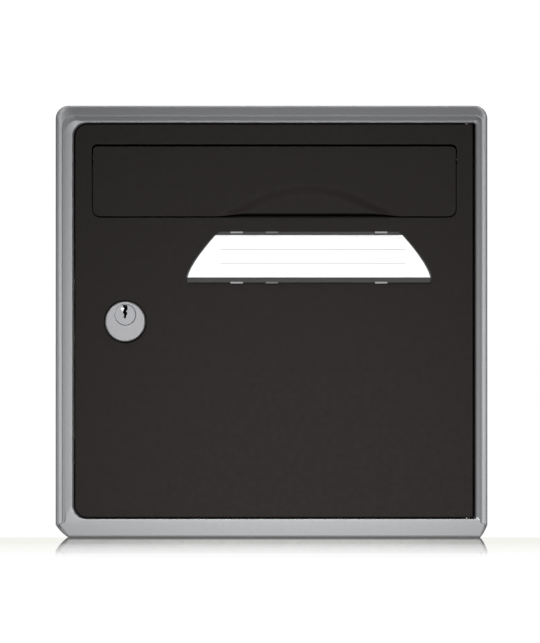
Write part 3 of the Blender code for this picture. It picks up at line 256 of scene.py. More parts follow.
def skin_piece(name, shapes):
    """A piece of one or more skins. Each shape is (rings, closed)."""
    bm = bmesh.new()
    for rings, closed in shapes:
        add_skin(bm, rings, closed)
    return piece_from(name, bm)


def carve(target, shapes, operation="DIFFERENCE", closed=False):
    """Cuts shapes out of the target, or joins them to it, for good. A closed shape is a ring."""
    tool = skin_piece(f"{target.name}_tool", [(rings, closed) for rings in shapes])
    modifier = target.modifiers.new("carve", "BOOLEAN")
    modifier.object = tool
    modifier.operation = operation
    modifier.solver = "EXACT"
    graph = bpy.context.evaluated_depsgraph_get()
    carved = bpy.data.meshes.new_from_object(target.evaluated_get(graph))
    target.modifiers.clear()
    target.data = carved
    bpy.data.objects.remove(tool)


def soften(obj, width=0.0, segments=2, weld=False):
    """Eases the piece's edges and shades it smooth between them."""
    if weld:
        modifier = obj.modifiers.new("weld", "WELD")
        modifier.merge_threshold = WELD_REACH
    if width:
        modifier = obj.modifiers.new("ease", "BEVEL")
        modifier.width = width
        modifier.segments = segments
        modifier.limit_method = "ANGLE"
        modifier.angle_limit = EASED
        modifier.use_clamp_overlap = True
        modifier.harden_normals = False
    obj.data.shade_smooth()
    if not weld:
        obj.data.set_sharp_from_angle(angle=SHARP)
    modifier = obj.modifiers.new("normals", "WEIGHTED_NORMAL")
    modifier.keep_sharp = True
    modifier.weight = NORMAL_WEIGHT


def take_place(obj, node, body, finish_slot, *finishes):
    """The piece wears its finishes, stands for a CAD node and moves with its body."""
    for finish in finishes:
        obj.data.materials.append(finish)
    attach(obj, body)
    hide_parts(node)
    return obj


# Finishes


class Finish:
    """A Principled material whose colour, roughness and bump come from procedural patterns."""

    def __init__(self, name, roughness, metallic=0.0):
        self.material = bpy.data.materials.new(name)
        self.material.use_nodes = True
        self.nodes = self.material.node_tree.nodes
        self.links = self.material.node_tree.links
        self.shader = self.nodes["Principled BSDF"]
        self.shader.inputs["Roughness"].default_value = roughness
        self.shader.inputs["Metallic"].default_value = metallic
        self.place = self.nodes.new("ShaderNodeTexCoord").outputs["Object"]
        self.height = None

    def stretched(self, scale):
        """Object coordinates scaled along each axis, for a grain that runs one way."""
        mapping = self.nodes.new("ShaderNodeMapping")
        mapping.inputs["Scale"].default_value = scale
        self.links.new(self.place, mapping.inputs["Vector"])
        return mapping.outputs["Vector"]

    def noise(self, scale, detail=3.0, rough=0.5, vector=None):
        node = self.nodes.new("ShaderNodeTexNoise")
        node.inputs["Scale"].default_value = scale
        node.inputs["Detail"].default_value = detail
        node.inputs["Roughness"].default_value = rough
        self.links.new(vector or self.place, node.inputs["Vector"])
        return node.outputs["Fac"]

    def cells(self, scale, vector=None):
        node = self.nodes.new("ShaderNodeTexVoronoi")
        node.inputs["Scale"].default_value = scale
        self.links.new(vector or self.place, node.inputs["Vector"])
        return node.outputs["Distance"]

    def math(self, operation, first, second=None):
        node = self.nodes.new("ShaderNodeMath")
        node.operation = operation
        for socket, value in zip(node.inputs, (first, second)):
            if value is None:
                continue
            if isinstance(value, (int, float)):
                socket.default_value = value
            else:
                self.links.new(value, socket)
        return node.outputs[0]

    def spread(self, value, low, high, start=0.3, end=0.7):
        """Maps a pattern from start..end to low..high."""
        node = self.nodes.new("ShaderNodeMapRange")
        for name, number in (("From Min", start), ("From Max", end), ("To Min", low), ("To Max", high)):
            node.inputs[name].default_value = number
        self.links.new(value, node.inputs["Value"])
        return node.outputs["Result"]

    def blend(self, factor, first, second):
        """Mixes two colours, each a tuple or a socket."""
        node = self.nodes.new("ShaderNodeMix")
        node.data_type = "RGBA"
        self.links.new(factor, node.inputs["Factor"])
        for socket, value in ((node.inputs["A"], first), (node.inputs["B"], second)):
            colour_socket = [s for s in node.inputs if s.name == socket.name and s.type == "RGBA"][0]
            if isinstance(value, tuple):
                colour_socket.default_value = (*value, 1.0)
            else:
                self.links.new(value, colour_socket)
        return [s for s in node.outputs if s.type == "RGBA"][0]

    def colour(self, value):
        self.links.new(value, self.shader.inputs["Base Color"])

    def roughness(self, value):
        self.links.new(value, self.shader.inputs["Roughness"])

    def bump(self, value, distance, strength=1.0):
        node = self.nodes.new("ShaderNodeBump")
        node.inputs["Distance"].default_value = distance
        node.inputs["Strength"].default_value = strength
        self.links.new(value, node.inputs["Height"])
        if self.height is not None:
            self.links.new(self.height, node.inputs["Normal"])
        self.height = node.outputs["Normal"]
        self.links.new(self.height, self.shader.inputs["Normal"])

    def axis(self, name):
        node = self.nodes.new("ShaderNodeSeparateXYZ")
        self.links.new(self.place, node.inputs[0])
        return node.outputs[name]

    def rings_about(self, centre, frequency):
        """Fine concentric lines round an axis along Y."""
        x = self.math("SUBTRACT", self.axis("X"), centre.x)
        z = self.math("SUBTRACT", self.axis("Z"), centre.z)
        square = self.math("ADD", self.math("MULTIPLY", x, x), self.math("MULTIPLY", z, z))
        radius = self.math("SQRT", square)
        node = self.nodes.new("ShaderNodeTexNoise")
        node.noise_dimensions = "1D"
        node.inputs["Detail"].default_value = 4.0
        node.inputs["Scale"].default_value = 1.0
        self.links.new(self.math("MULTIPLY", radius, frequency), node.inputs["W"])
        return node.outputs["Fac"]


MOULD_GRAIN = 1600.0
NICKEL_MOTTLE = 0.03  # how far the mottle strays from the metal's colour
ACRYLIC_IOR = 1.49
LINE_HALF = 0.22 * MM
LINE_HEIGHTS = (50.2 * MM, 40.3 * MM)
LINE_ENDS = (-35.7 * MM, 93 * MM)
LINE_INK = (0.5, 0.5, 0.53)


def lighter(colour, share):
    return tuple(min(1.0, part * (1 + share)) for part in colour)


def coated(name, colour, roughness, grain_scale, grain_depth, spread, specular=0.5):
    """Powder coat: orange peel, faint clouding and uneven gloss."""
    made = Finish(name, roughness)
    clouds = made.noise(14.0, detail=4.0, rough=0.6)
    speckle = made.noise(grain_scale * 2.4, detail=2.0)
    base = made.blend(clouds, lighter(colour, -spread), lighter(colour, spread))
    made.colour(made.blend(made.spread(speckle, 0.0, 0.35), base, lighter(colour, 3 * spread)))
    made.roughness(made.spread(made.noise(260.0), roughness - 0.03, roughness + 0.03))
    made.bump(made.noise(grain_scale, detail=2.0, rough=0.6), grain_depth)
    made.bump(made.cells(grain_scale * 0.45), grain_depth * 0.8, strength=0.5)
    made.shader.inputs["Specular IOR Level"].default_value = specular
    return made.material


def moulded(name, colour, roughness, spread=0.03, metallic=0.0, specular=0.5):
    """Moulded plastic: a fine spark-eroded grain and soft flow clouding."""
    made = Finish(name, roughness, metallic)
    clouds = made.noise(9.0)
    flecks = made.noise(MOULD_GRAIN * 1.7, detail=2.0)
    base = made.blend(clouds, lighter(colour, -spread), lighter(colour, spread))
    made.colour(made.blend(made.spread(flecks, 0.0, 0.3), base, lighter(colour, 2.5 * spread)))
    made.roughness(made.spread(made.noise(300.0, detail=2.0), roughness - 0.02, roughness + 0.02))
    made.bump(made.noise(MOULD_GRAIN, detail=2.0), 0.008 * MM, strength=0.6)
    made.shader.inputs["Specular IOR Level"].default_value = specular
    return made.material


def plated(name, colour, roughness, tint):
    """Zinc plate: drawn lines in the steel under a mottled, faintly coloured passivation."""
    made = Finish(name, roughness, 1.0)
    drawn = made.noise(1.0, rough=0.6, vector=made.stretched((900.0, 900.0, 40.0)))
    mottle = made.noise(160.0, detail=4.0, rough=0.65)
    base = made.blend(made.spread(mottle, 0.0, 1.0), colour, tint)
    made.colour(made.blend(made.spread(drawn, 0.0, 0.4), base, lighter(colour, -0.3)))
    made.roughness(made.spread(mottle, roughness - 0.09, roughness + 0.1))
    made.bump(drawn, 0.01 * MM, strength=0.5)
    return made.material


def turned_nickel(name, colour, centre, roughness=0.5, metallic=0.6):
    """Satin nickel, with fine turned rings round an axis."""
    made = Finish(name, roughness, metallic)
    rings = made.rings_about(centre, 9000.0)
    mottle = made.noise(220.0)
    base = made.blend(mottle, lighter(colour, -NICKEL_MOTTLE), lighter(colour, NICKEL_MOTTLE))
    made.colour(made.blend(made.spread(rings, 0.0, 0.5), base, lighter(colour, -0.07)))
    made.roughness(made.spread(rings, roughness - 0.06, roughness + 0.06))
    made.bump(rings, 0.006 * MM, strength=0.6)
    return made.material


def rubber(name):
    made = Finish(name, 0.8)
    dust = made.noise(300.0, detail=4.0, rough=0.7)
    made.colour(made.blend(made.spread(dust, 0.0, 1.0), (0.012, 0.012, 0.012), (0.03, 0.029, 0.028)))
    made.roughness(made.spread(dust, 0.72, 0.9))
    made.bump(made.noise(1400.0), 0.03 * MM, strength=0.6)
    return made.material


def paper(name):
    """White card with two ruled lines."""
    made = Finish(name, 0.75)
    fibres = made.noise(1.0, detail=4.0, rough=0.7, vector=made.stretched((700.0, 700.0, 1600.0)))
    white = made.blend(fibres, (0.985, 0.985, 0.985), (1.0, 1.0, 1.0))
    x = made.axis("X")
    z = made.axis("Z")
    past_start = made.math("GREATER_THAN", x, LINE_ENDS[0])
    before_end = made.math("LESS_THAN", x, LINE_ENDS[1])
    along = made.math("MULTIPLY", past_start, before_end)
    ink = None
    for height in LINE_HEIGHTS:
        off = made.math("ABSOLUTE", made.math("SUBTRACT", z, height))
        line = made.math("LESS_THAN", off, LINE_HALF)
        ink = line if ink is None else made.math("ADD", ink, line)
    made.colour(made.blend(made.math("MULTIPLY", ink, along), white, LINE_INK))
    made.bump(fibres, 0.02 * MM, strength=0.5)
    return made.material


def clear_plastic(name, colour, roughness, alpha, specular=0.5):
    """Clear moulding: the surface behind shows through, with fine wiping scratches in the gloss."""
    made = Finish(name, roughness)
    scratches = made.noise(1.0, detail=4.0, rough=0.7, vector=made.stretched((90.0, 90.0, 2200.0)))
    made.colour(made.blend(scratches, lighter(colour, -0.05), lighter(colour, 0.05)))
    made.roughness(made.spread(scratches, roughness, roughness + 0.08))
    made.bump(scratches, 0.004 * MM, strength=0.4)
    made.shader.inputs["Alpha"].default_value = alpha
    made.shader.inputs["IOR"].default_value = ACRYLIC_IOR
    made.shader.inputs["Specular IOR Level"].default_value = specular
    return made.material


FINISHES = {
    "grey_painted_steel": coated(
        "grey_painted_steel", (0.30, 0.31, 0.32), 0.5, grain_scale=700, grain_depth=0.06 * MM, spread=0.03
    ),
    "silver_grey_moulding": moulded(
        "silver_grey_moulding", (0.225, 0.228, 0.234), 0.5, spread=0.012, metallic=0.6
    ),
    "black_powder_coat": coated(
        "black_powder_coat", (0.0088, 0.0062, 0.0057), 0.66,
        grain_scale=900, grain_depth=0.03 * MM, spread=0.012, specular=0.17,
    ),
    "zinc_plated_steel": plated(
        "zinc_plated_steel", (0.56, 0.56, 0.55), 0.34, tint=(0.60, 0.58, 0.50)
    ),
    "satin_nickel": turned_nickel("satin_nickel", (0.2, 0.2, 0.206), centre=LOCK),
    "white_nylon": moulded("white_nylon", (0.72, 0.71, 0.67), 0.5),
    "black_rubber": rubber("black_rubber"),
    "black_moulding": moulded("black_moulding", (0.006, 0.006, 0.006), 0.8, spread=0.08, specular=0.1),
    "blackened_steel": coated(
        "blackened_steel", (0.006, 0.006, 0.0065), 0.7,
        grain_scale=2500, grain_depth=0.01 * MM, spread=0.1, specular=0.1,
    ),
    "white_card": paper("white_card"),
    "clear_plastic": clear_plastic("clear_plastic", (0.85, 0.87, 0.88), 0.05, alpha=0.06),
}
PLUG_FINISH = turned_nickel("satin_nickel_plug", (0.198, 0.201, 0.21), centre=PLUG)
# A near-black finish for the insides of the keyway and of the plug's seat and bore: painted shade, standing
# for the dark of the holes
KEYWAY_PAINTED_SHADE = coated(
    "keyway_painted_shade", (0.004, 0.004, 0.004), 0.8,
    grain_scale=2500, grain_depth=0.01 * MM, spread=0.1, specular=0.05,
)
# A near-white finish for a small patch on the plug's face: a painted highlight, the glint off a ward
GLINT_PAINTED_HIGHLIGHT = coated(
    "glint_painted_highlight", (0.85, 0.85, 0.86), 0.35, grain_scale=2500, grain_depth=0.01 * MM, spread=0.02
)
STRIP_FINISH = clear_plastic("clear_plastic_strip", (0.06, 0.06, 0.06), 0.5, alpha=0.7, specular=0.15)
LUG_FINISH = clear_plastic("clear_plastic_lug", (0.33, 0.33, 0.33), 0.5, alpha=0.85, specular=0.2)
LUG_DIM_FINISH = clear_plastic("clear_plastic_lug_dim", (0.17, 0.17, 0.17), 0.5, alpha=0.75, specular=0.2)


# Front frame

# Each side's profile, as (distance from the outer edge, recess) in millimetres. The rings of the
# four sides meet at the corners, so the lists are equally long.
PROFILE_LEFT = (
    (0.0, 1.3), (0.15, 0.8), (0.5, 0.55), (1.0, 0.36), (2.0, 0.13),
    (2.7, 0.02), (4.3, 0.0), (4.5, 0.05), (4.9, 0.3), (5.7, 0.47),
    (6.2, 0.51), (6.7, 0.75), (10.6, 1.35), (11.4, 1.38), (12.4, 2.4),
)
PROFILE_RIGHT = (
    (0.0, 1.2), (0.12, 0.6), (0.35, 0.28), (0.7, 0.12), (1.2, 0.05),
    (1.8, 0.01), (2.7, 0.0), (3.2, 0.04), (3.7, 0.14), (4.2, 0.3),
    (4.7, 0.54), (5.2, 0.85), (6.8, 1.45), (7.5, 1.7), (8.1, 2.4),
)
PROFILE_TOP = (
    (0.0, 0.4), (0.15, 0.1), (0.4, 0.0), (1.0, 0.05), (1.6, 0.18),
    (2.2, 0.32), (6.2, 1.26), (6.6, 1.3), (7.2, 1.38), (7.8, 1.53),
    (9.6, 2.01), (10.2, 2.16), (10.9, 2.24), (11.4, 2.27), (11.9, 3.0),
)
PROFILE_SILL = (
    (0.0, 2.0), (0.15, 1.8), (0.5, 1.58), (1.0, 1.41), (1.8, 1.29),
    (9.3, 1.08), (9.5, 1.08), (9.7, 1.07), (9.8, 1.07), (9.9, 1.07),
    (10.0, 1.07), (10.1, 1.06), (12.3, 1.0), (12.7, 1.06), (12.9, 2.0),
)
RIDGE_RINGS = range(5, 11)  # these rings turn sharply at the sill, where the ridge ends
RIDGE_CORNER = (0.35, 0.35, 0)
RIDGE_END_TURN = 3.0  # how early in a lower corner the side's profile gives way to the sill's
# The side before and after each corner, from the lower left one
SIDES_AT_CORNERS = ((LEFT, BOTTOM), (BOTTOM, RIGHT), (RIGHT, TOP), (TOP, LEFT))


def smooth_step(value):
    value = max(0.0, min(1.0, value))
    return value * value * (3 - 2 * value)


def frame_ring(index):
    """Ring number index round the frame's face."""
    sides = [profile[index] for profile in (PROFILE_LEFT, PROFILE_RIGHT, PROFILE_SILL, PROFILE_TOP)]
    insets = [distance * MM for distance, _ in sides]
    recesses = [recess * MM for _, recess in sides]
    corners = []
    for place, (outer, opening) in enumerate(zip(CORNERS_OUTER, CORNERS_OPENING)):
        lower = BOTTOM in SIDES_AT_CORNERS[place]
        if lower and index in RIDGE_RINGS:
            corners.append(RIDGE_CORNER)
        elif lower and index < RIDGE_RINGS[0]:
            corners.append(corners_inset(CORNERS_OUTER, insets[BOTTOM])[place])
        else:
            share = insets[TOP] / FACE_WIDTHS[TOP]
            corners.append([(1 - share) * far + share * near for far, near in zip(outer, opening)])
    outline = rounded_outline(inset(OUTER, insets), corners)
    points = []
    for number, (x, z) in enumerate(outline):
        before, after = SIDES_AT_CORNERS[number // (CORNER_STEPS + 1)]
        share = (number % (CORNER_STEPS + 1)) / CORNER_STEPS
        if before == BOTTOM:
            share = max(0.0, 1 - RIDGE_END_TURN * (1 - share))
        if after == BOTTOM:
            share = min(1.0, RIDGE_END_TURN * share)
        share = smooth_step(share)
        recess = (1 - share) * recesses[before] + share * recesses[after]
        points.append((x, FRONT + recess, z))
    return points


def edge_ring(amount, recess):
    outline = rounded_outline(inset(OUTER, amount), corners_inset(CORNERS_OUTER, amount))
    return at_depth(outline, FRONT + recess)


def reveal_ring(grow, recess):
    opening = inset(OUTER, FACE_WIDTHS)
    outline = rounded_outline(inset(opening, -grow), corners_inset(CORNERS_OPENING, -grow))
    return at_depth(outline, FRONT + recess)


def make_front_frame():
    skirt = frame_high.y - FRONT
    rings = [edge_ring(0, skirt)]
    rings += [frame_ring(index) for index in range(len(PROFILE_LEFT))]
    rings += [
        reveal_ring(0, REVEAL_DEPTH),
        reveal_ring(REVEAL_WALL, REVEAL_DEPTH),
        reveal_ring(REVEAL_WALL, ROOF_INNER),
        edge_ring(FRAME_WALL, ROOF_OUTER),
        edge_ring(FRAME_WALL, skirt),
    ]
    piece = skin_piece("frame_moulding", [(rings, True)])
    soften(piece)
    finish = FINISHES["silver_grey_moulding"]
    take_place(piece, "front_frame", "housing", "silver_grey_moulding", finish)


# Door

DOOR_EDGE = 1.0 * MM
DOOR_GAP = 0.7 * MM  # between the door and the frame's opening at their corners
WINDOW_GAPS = (0.8 * MM, 0.8 * MM, 1.0 * MM, 1.5 * MM)
BARREL_RADIUS = 12.4 * MM
BARREL_FLAT = 10.5 * MM
# A groove in the door round the lock's rosette, as (radius, depth) in millimetres
GROOVE = ((12.9, -1.2), (15.05, -1.2), (15.0, 0.0), (14.6, 0.95), (12.9, 0.95))
DOOR_EASING = 0.22 * MM
STUD_RADIUS = 1.5 * MM
STUD_LENGTH = 7.5 * MM
STUD_STEPS = 24
STUD_NODES = ("slot_frame_nut_1", "slot_frame_nut_2", "slot_frame_nut_3", "slot_frame_nut_4")


def eased_rings(box, corners, front, radius):
    """Rings from a flat front over a rounded edge to the full outline."""
    rings = []
    for step in range(EDGE_STEPS + 1):
        angle = 0.5 * pi * step / EDGE_STEPS
        amount = radius * (1 - sin(angle))
        outline = rounded_outline(inset(box, amount), corners_inset(corners, amount))
        rings.append(at_depth(outline, front + radius * (1 - cos(angle))))
    return rings


def make_door_panel():
    corners = corners_inset(CORNERS_OPENING, DOOR_GAP)
    rings = eased_rings(DOOR_BOX, corners, DOOR_FRONT, DOOR_EDGE)
    rim = rounded_outline(DOOR_BOX, corners)
    inner = rounded_outline(inset(DOOR_BOX, SHEET), corners_inset(corners, SHEET))
    rings += [
        at_depth(rim, DOOR_REAR),
        at_depth(inner, DOOR_REAR),
        at_depth(inner, DOOR_FRONT + SHEET),
    ]
    piece = skin_piece("door_leaf", [(rings, False)])
    before, behind = DOOR_FRONT - SHEET, DOOR_FRONT + 2 * SHEET
    window = inset(FLAP, [-gap for gap in WINDOW_GAPS])
    openings = [[at_depth(rounded_outline(window, WINDOW_CORNERS), y) for y in (before, behind)]]
    barrel = circle(LOCK, BARREL_RADIUS + FIT, BARREL_FLAT + FIT)
    openings.append([at_depth(barrel, y) for y in (before, behind)])
    carve(piece, openings)
    groove = [at_depth(circle(LOCK, r * MM), DOOR_FRONT + depth * MM) for r, depth in GROOVE]
    carve(piece, [groove], closed=True)
    studs = []
    for node in STUD_NODES:
        low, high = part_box(node)
        centre = (low + high) / 2
        root = DOOR_FRONT + SHEET / 2
        tip = DOOR_FRONT + SHEET + STUD_LENGTH
        studs.append([at_depth(circle(centre, STUD_RADIUS, steps=STUD_STEPS), y) for y in (root, tip)])
    carve(piece, studs, "UNION")
    soften(piece, DOOR_EASING)
    take_place(piece, "door_panel", "door", "black_powder_coat", FINISHES["black_powder_coat"])


# Letter flap

FLAP_THICKNESS = 1.6 * MM
FLAP_CORNER_BOTTOM = 5.0 * MM
FLAP_CORNER_TOP = 2.7 * MM
LIP_HALF_WIDTH = 64.6 * MM
LIP_HEIGHT = 23.6 * MM
LIP_FLARE = 3.1 * MM
LIP_SHOULDER = 0.45  # share of the lip's height over which it comes forward
LIP_LIFT = 1.3 * MM  # lower edge raised in the middle
LIP_LIFT_REACH = 6  # how many curls up the lift has faded out
LIP_CURL = 1.0 * MM  # height over which the lower edge rolls back
LIP_ROLL = 0.75  # how far back it rolls, as a share of that height
LIP_STEEPNESS = 2.2  # how quickly the curl and the lift start from the lip's ends
FLAP_EASING = 0.3 * MM
FLAP_COLUMNS = 150
FLAP_ROWS = 56
LOW_CORNER_ROWS = 9
HIGH_CORNER_ROWS = 6
KNUCKLE_RADIUS = 2.9 * MM
KNUCKLE_LENGTH = 22 * MM
KNUCKLE_END_INSET = 16 * MM
KNUCKLES = 4
KNUCKLE_EDGE = 0.3 * MM
KNUCKLE_STEPS = 32
FLAP_AXIS_Y = DOOR_FRONT + 4.2 * MM
FLAP_AXIS_Z = FLAP[TOP] - 7 * MM


def lip_share(x):
    """How high the lip's arch stands at x, from 0 at its ends to 1 in its middle."""
    across = (x - PLATE_X) / LIP_HALF_WIDTH
    return cos(across * pi / 2) if abs(across) < 1 else 0.0


def lip_flare(x, z):
    arch = LIP_HEIGHT * lip_share(x)
    below = (FLAP[BOTTOM] + arch - z) / (LIP_SHOULDER * LIP_HEIGHT)
    return LIP_FLARE * smooth_step(below)


def flap_row(z):
    draw_in = 0.0
    for radius, depth in ((FLAP_CORNER_BOTTOM, z - FLAP[BOTTOM]), (FLAP_CORNER_TOP, FLAP[TOP] - z)):
        if depth < radius:
            draw_in = radius - (max(0.0, radius**2 - (radius - depth) ** 2)) ** 0.5
    return FLAP[LEFT] + draw_in, FLAP[RIGHT] - draw_in


def corner_rises(radius, steps):
    """Heights above a corner's foot, evenly round its arc."""
    return [radius * (1 - cos(pi / 2 * step / steps)) for step in range(steps + 1)]


def flap_heights():
    start = FLAP[BOTTOM] + FLAP_CORNER_BOTTOM
    end = FLAP[TOP] - FLAP_CORNER_TOP
    low = [FLAP[BOTTOM] + rise for rise in corner_rises(FLAP_CORNER_BOTTOM, LOW_CORNER_ROWS)]
    middle = [start + (end - start) * step / FLAP_ROWS for step in range(FLAP_ROWS)]
    high = [FLAP[TOP] - rise for rise in corner_rises(FLAP_CORNER_TOP, HIGH_CORNER_ROWS)]
    return low[:-1] + middle + high[::-1]


def flap_point(x, z, behind):
    """A point of the flap's front sheet, or of its back sheet."""
    share = smooth_step(LIP_STEEPNESS * lip_share(x))
    up = z - FLAP[BOTTOM]
    lifted = z + LIP_LIFT * share * max(0.0, 1 - up / (LIP_LIFT_REACH * LIP_CURL))
    rolled = 0.0
    if up < LIP_CURL:
        rolled = LIP_ROLL * LIP_CURL * share * (1 - up / LIP_CURL) ** 2
    return (x, DOOR_FRONT - lip_flare(x, z) + rolled + behind * FLAP_THICKNESS, lifted)


def make_letter_flap():
    bm = bmesh.new()
    front = []
    back = []
    for z in flap_heights():
        left, right = flap_row(z)
        xs = [left + (right - left) * step / FLAP_COLUMNS for step in range(FLAP_COLUMNS + 1)]
        front.append([bm.verts.new(flap_point(x, z, 0)) for x in xs])
        back.append([bm.verts.new(flap_point(x, z, 1)) for x in xs])
    for sheet in (front, back):
        for lower, upper in zip(sheet, sheet[1:]):
            for index in range(FLAP_COLUMNS):
                bm.faces.new((lower[index], lower[index + 1], upper[index + 1], upper[index]))

    def rim(sheet):
        along_right = [row[-1] for row in sheet[1:]]
        along_left = [row[0] for row in sheet[-2:0:-1]]
        return sheet[0] + along_right + sheet[-1][-2::-1] + along_left

    rim_front, rim_back = rim(front), rim(back)
    for index, corner in enumerate(rim_front):
        after = (index + 1) % len(rim_front)
        bm.faces.new((corner, rim_front[after], rim_back[after], rim_back[index]))
    first = FLAP[LEFT] + KNUCKLE_END_INSET
    last = FLAP[RIGHT] - KNUCKLE_END_INSET - KNUCKLE_LENGTH
    turns = [2 * pi * step / KNUCKLE_STEPS for step in range(KNUCKLE_STEPS)]
    for number in range(KNUCKLES):
        start = first + (last - first) * number / (KNUCKLES - 1)
        rings = []
        for radius, x in (
            (KNUCKLE_RADIUS - KNUCKLE_EDGE, start),
            (KNUCKLE_RADIUS, start + KNUCKLE_EDGE),
            (KNUCKLE_RADIUS, start + KNUCKLE_LENGTH - KNUCKLE_EDGE),
            (KNUCKLE_RADIUS - KNUCKLE_EDGE, start + KNUCKLE_LENGTH),
        ):
            rings.append([(x, FLAP_AXIS_Y + radius * cos(t), FLAP_AXIS_Z + radius * sin(t)) for t in turns])
        add_skin(bm, rings)
    piece = piece_from("flap_leaf", bm)
    soften(piece, FLAP_EASING, segments=3)
    take_place(piece, "letter_flap", "flap", "black_powder_coat", FINISHES["black_powder_coat"])


# Name plate

CARD_HALF_BOTTOM = 84.3 * MM
CARD_HALF_TOP = 64.7 * MM
CARD_SIDE_POWER = 1.36
CARD_SIDE_POINTS = 26
CARD_EASING = 0.05 * MM
COVER_EASING = 0.12 * MM
COVER_SIDE = 1.0 * MM
PANE_GAP = 0.15 * MM
STRIP_GAP = 0.1 * MM
STRIP_INSET = 0.7 * MM  # the lower strip ends this far above the lugs' ends
STRIP_STEP = 0.25 * MM  # the strips lie this far behind the lugs
BOTTOM_STRIP_GROW = 0.2 * MM
TOP_STRIP_GROW = -0.3 * MM
LUG_WIDTH = 8.7 * MM
LUG_HEIGHT = 1.2 * MM
LUG_CORNERS = ((0.5, 0.5, 0),) * 4
LUG_CORNER_STEPS = 4
PANE, STRIP, LUG, DIM_LUG = range(4)  # the cover's finishes, in the order that it wears them
# Where each pair of lugs stands from the plate's middle, and its finish
LUGS = ((-50.2 * MM, LUG), (-25.7 * MM, DIM_LUG), (50.2 * MM, LUG))


def plate_half_width(z):
    share = max(0.0, (z - card_low.z) / (card_high.z - card_low.z))
    return CARD_HALF_BOTTOM - (CARD_HALF_BOTTOM - CARD_HALF_TOP) * share**CARD_SIDE_POWER


def plate_outline(bottom, top, grow):
    steps = CARD_SIDE_POINTS
    heights = [bottom + (top - bottom) * step / steps for step in range(steps + 1)]
    right = [(PLATE_X + plate_half_width(z) + grow, z) for z in heights]
    left = [(PLATE_X - plate_half_width(z) - grow, z) for z in reversed(heights)]
    return right + left


def make_name_plate():
    outline = plate_outline(card_low.z, card_high.z, 0)
    sheet = [at_depth(outline, y) for y in (card_low.y, card_high.y)]
    card = skin_piece("name_card_print", [(sheet, False)])
    soften(card, CARD_EASING, segments=1)
    take_place(card, "name_card", "door", "white_card", FINISHES["white_card"])

    front = cover_low.y
    rear = DOOR_FRONT - FIT
    bm = bmesh.new()
    pane = plate_outline(card_low.z, card_high.z, COVER_SIDE)
    add_skin(bm, [at_depth(pane, front), at_depth(pane, card_low.y - PANE_GAP)], finish=PANE)
    for bottom, top, grow in (
        (cover_low.z + STRIP_INSET, card_low.z - STRIP_GAP, BOTTOM_STRIP_GROW),
        (card_high.z + STRIP_GAP, cover_high.z - STRIP_GAP, TOP_STRIP_GROW),
    ):
        strip = plate_outline(bottom, top, grow)
        add_skin(bm, [at_depth(strip, front + STRIP_STEP), at_depth(strip, rear)], finish=STRIP)
    for offset, finish in LUGS:
        middle = PLATE_X + offset
        for bottom, top in (
            (cover_low.z, cover_low.z + LUG_HEIGHT),
            (cover_high.z - LUG_HEIGHT, cover_high.z),
        ):
            box = (middle - LUG_WIDTH / 2, middle + LUG_WIDTH / 2, bottom, top)
            lug = rounded_outline(box, LUG_CORNERS, LUG_CORNER_STEPS)
            add_skin(bm, [at_depth(lug, front), at_depth(lug, rear)], finish=finish)
    cover = piece_from("name_cover_moulding", bm)
    soften(cover, COVER_EASING)
    finishes = (FINISHES["clear_plastic"], STRIP_FINISH, LUG_FINISH, LUG_DIM_FINISH)
    take_place(cover, "name_cover", "door", "clear_plastic", *finishes)


# Lock

ROSETTE_RADIUS = 14.0 * MM
ROSETTE_EDGE = 1.0 * MM
PLUG_RADIUS = 5.5 * MM
PLUG_FACE = 7.15 * MM
PLUG_FACE_THICKNESS = 1.4 * MM
PLUG_EDGE = 0.12 * MM
PLUG_EDGE_STEPS = 4
LOCK_EASING = 0.12 * MM
PLUG_EASING = 0.08 * MM
SEAT_RADIUS = 7.35 * MM
SEAT_SHIFT = Vector((0.15 * MM, 0, -0.06 * MM))  # the plug sits to one side of its seat
TAIL_HALF = 3 * MM
CLIP_GROOVE = 1.2 * MM
# The keyway's outline from the plug's centre, in millimetres
KEYWAY = (
    (-1.0, -2.3), (0.65, -2.3), (0.65, -0.4), (1.4, 0.0), (1.4, 1.6), (0.55, 1.9), (0.7, 2.8),
    (1.6, 3.0), (1.6, 6.6), (-0.3, 6.6), (-1.8, 6.7), (-1.5, 5.6), (-0.6, 4.9), (-0.5, 3.9),
    (-1.5, 2.3), (-1.5, 1.1), (-0.95, 0.6),
)
KEYWAY_DEPTH = 9 * MM
GLINT = ((-3.1, 4.7), (-2.0, 2.1), (-0.75, 4.6))  # a small patch beside the keyway, painted near white: a painted highlight, the glint where a ward catches the light
GLINT_RISE = 0.03 * MM
GLINT_ROOT = 0.2 * MM
# Places in the list of finishes that each piece wears; the dark ones are painted shade inside the keyway
# and the plug's seat
BODY_PAINTED_SHADE = 1
# the bright one is a painted highlight on the plug's face
PLUG_PAINTED_HIGHLIGHT = 1
PLUG_PAINTED_SHADE = 2


def paint_shade_inside(obj, centre, radius, front, rear, finish):
    """Gives the walls and floor of holes round a centre another finish, a near-black one: painted shade, so
    that the holes read dark.
    """
    slack = 0.02 * MM
    for polygon in obj.data.polygons:
        place = polygon.center
        aside = hypot(place.x - centre.x, place.z - centre.z)
        if aside < radius + slack and front + slack < place.y < rear + slack:
            polygon.material_index = finish


def face_rings(centre, radius, front, edge, steps):
    """Rings of a round face with an eased rim."""
    rings = []
    for step in range(steps + 1):
        angle = 0.5 * pi * step / steps
        outline = circle(centre, radius - edge * (1 - sin(angle)))
        rings.append(at_depth(outline, front + edge * (1 - cos(angle))))
    return rings


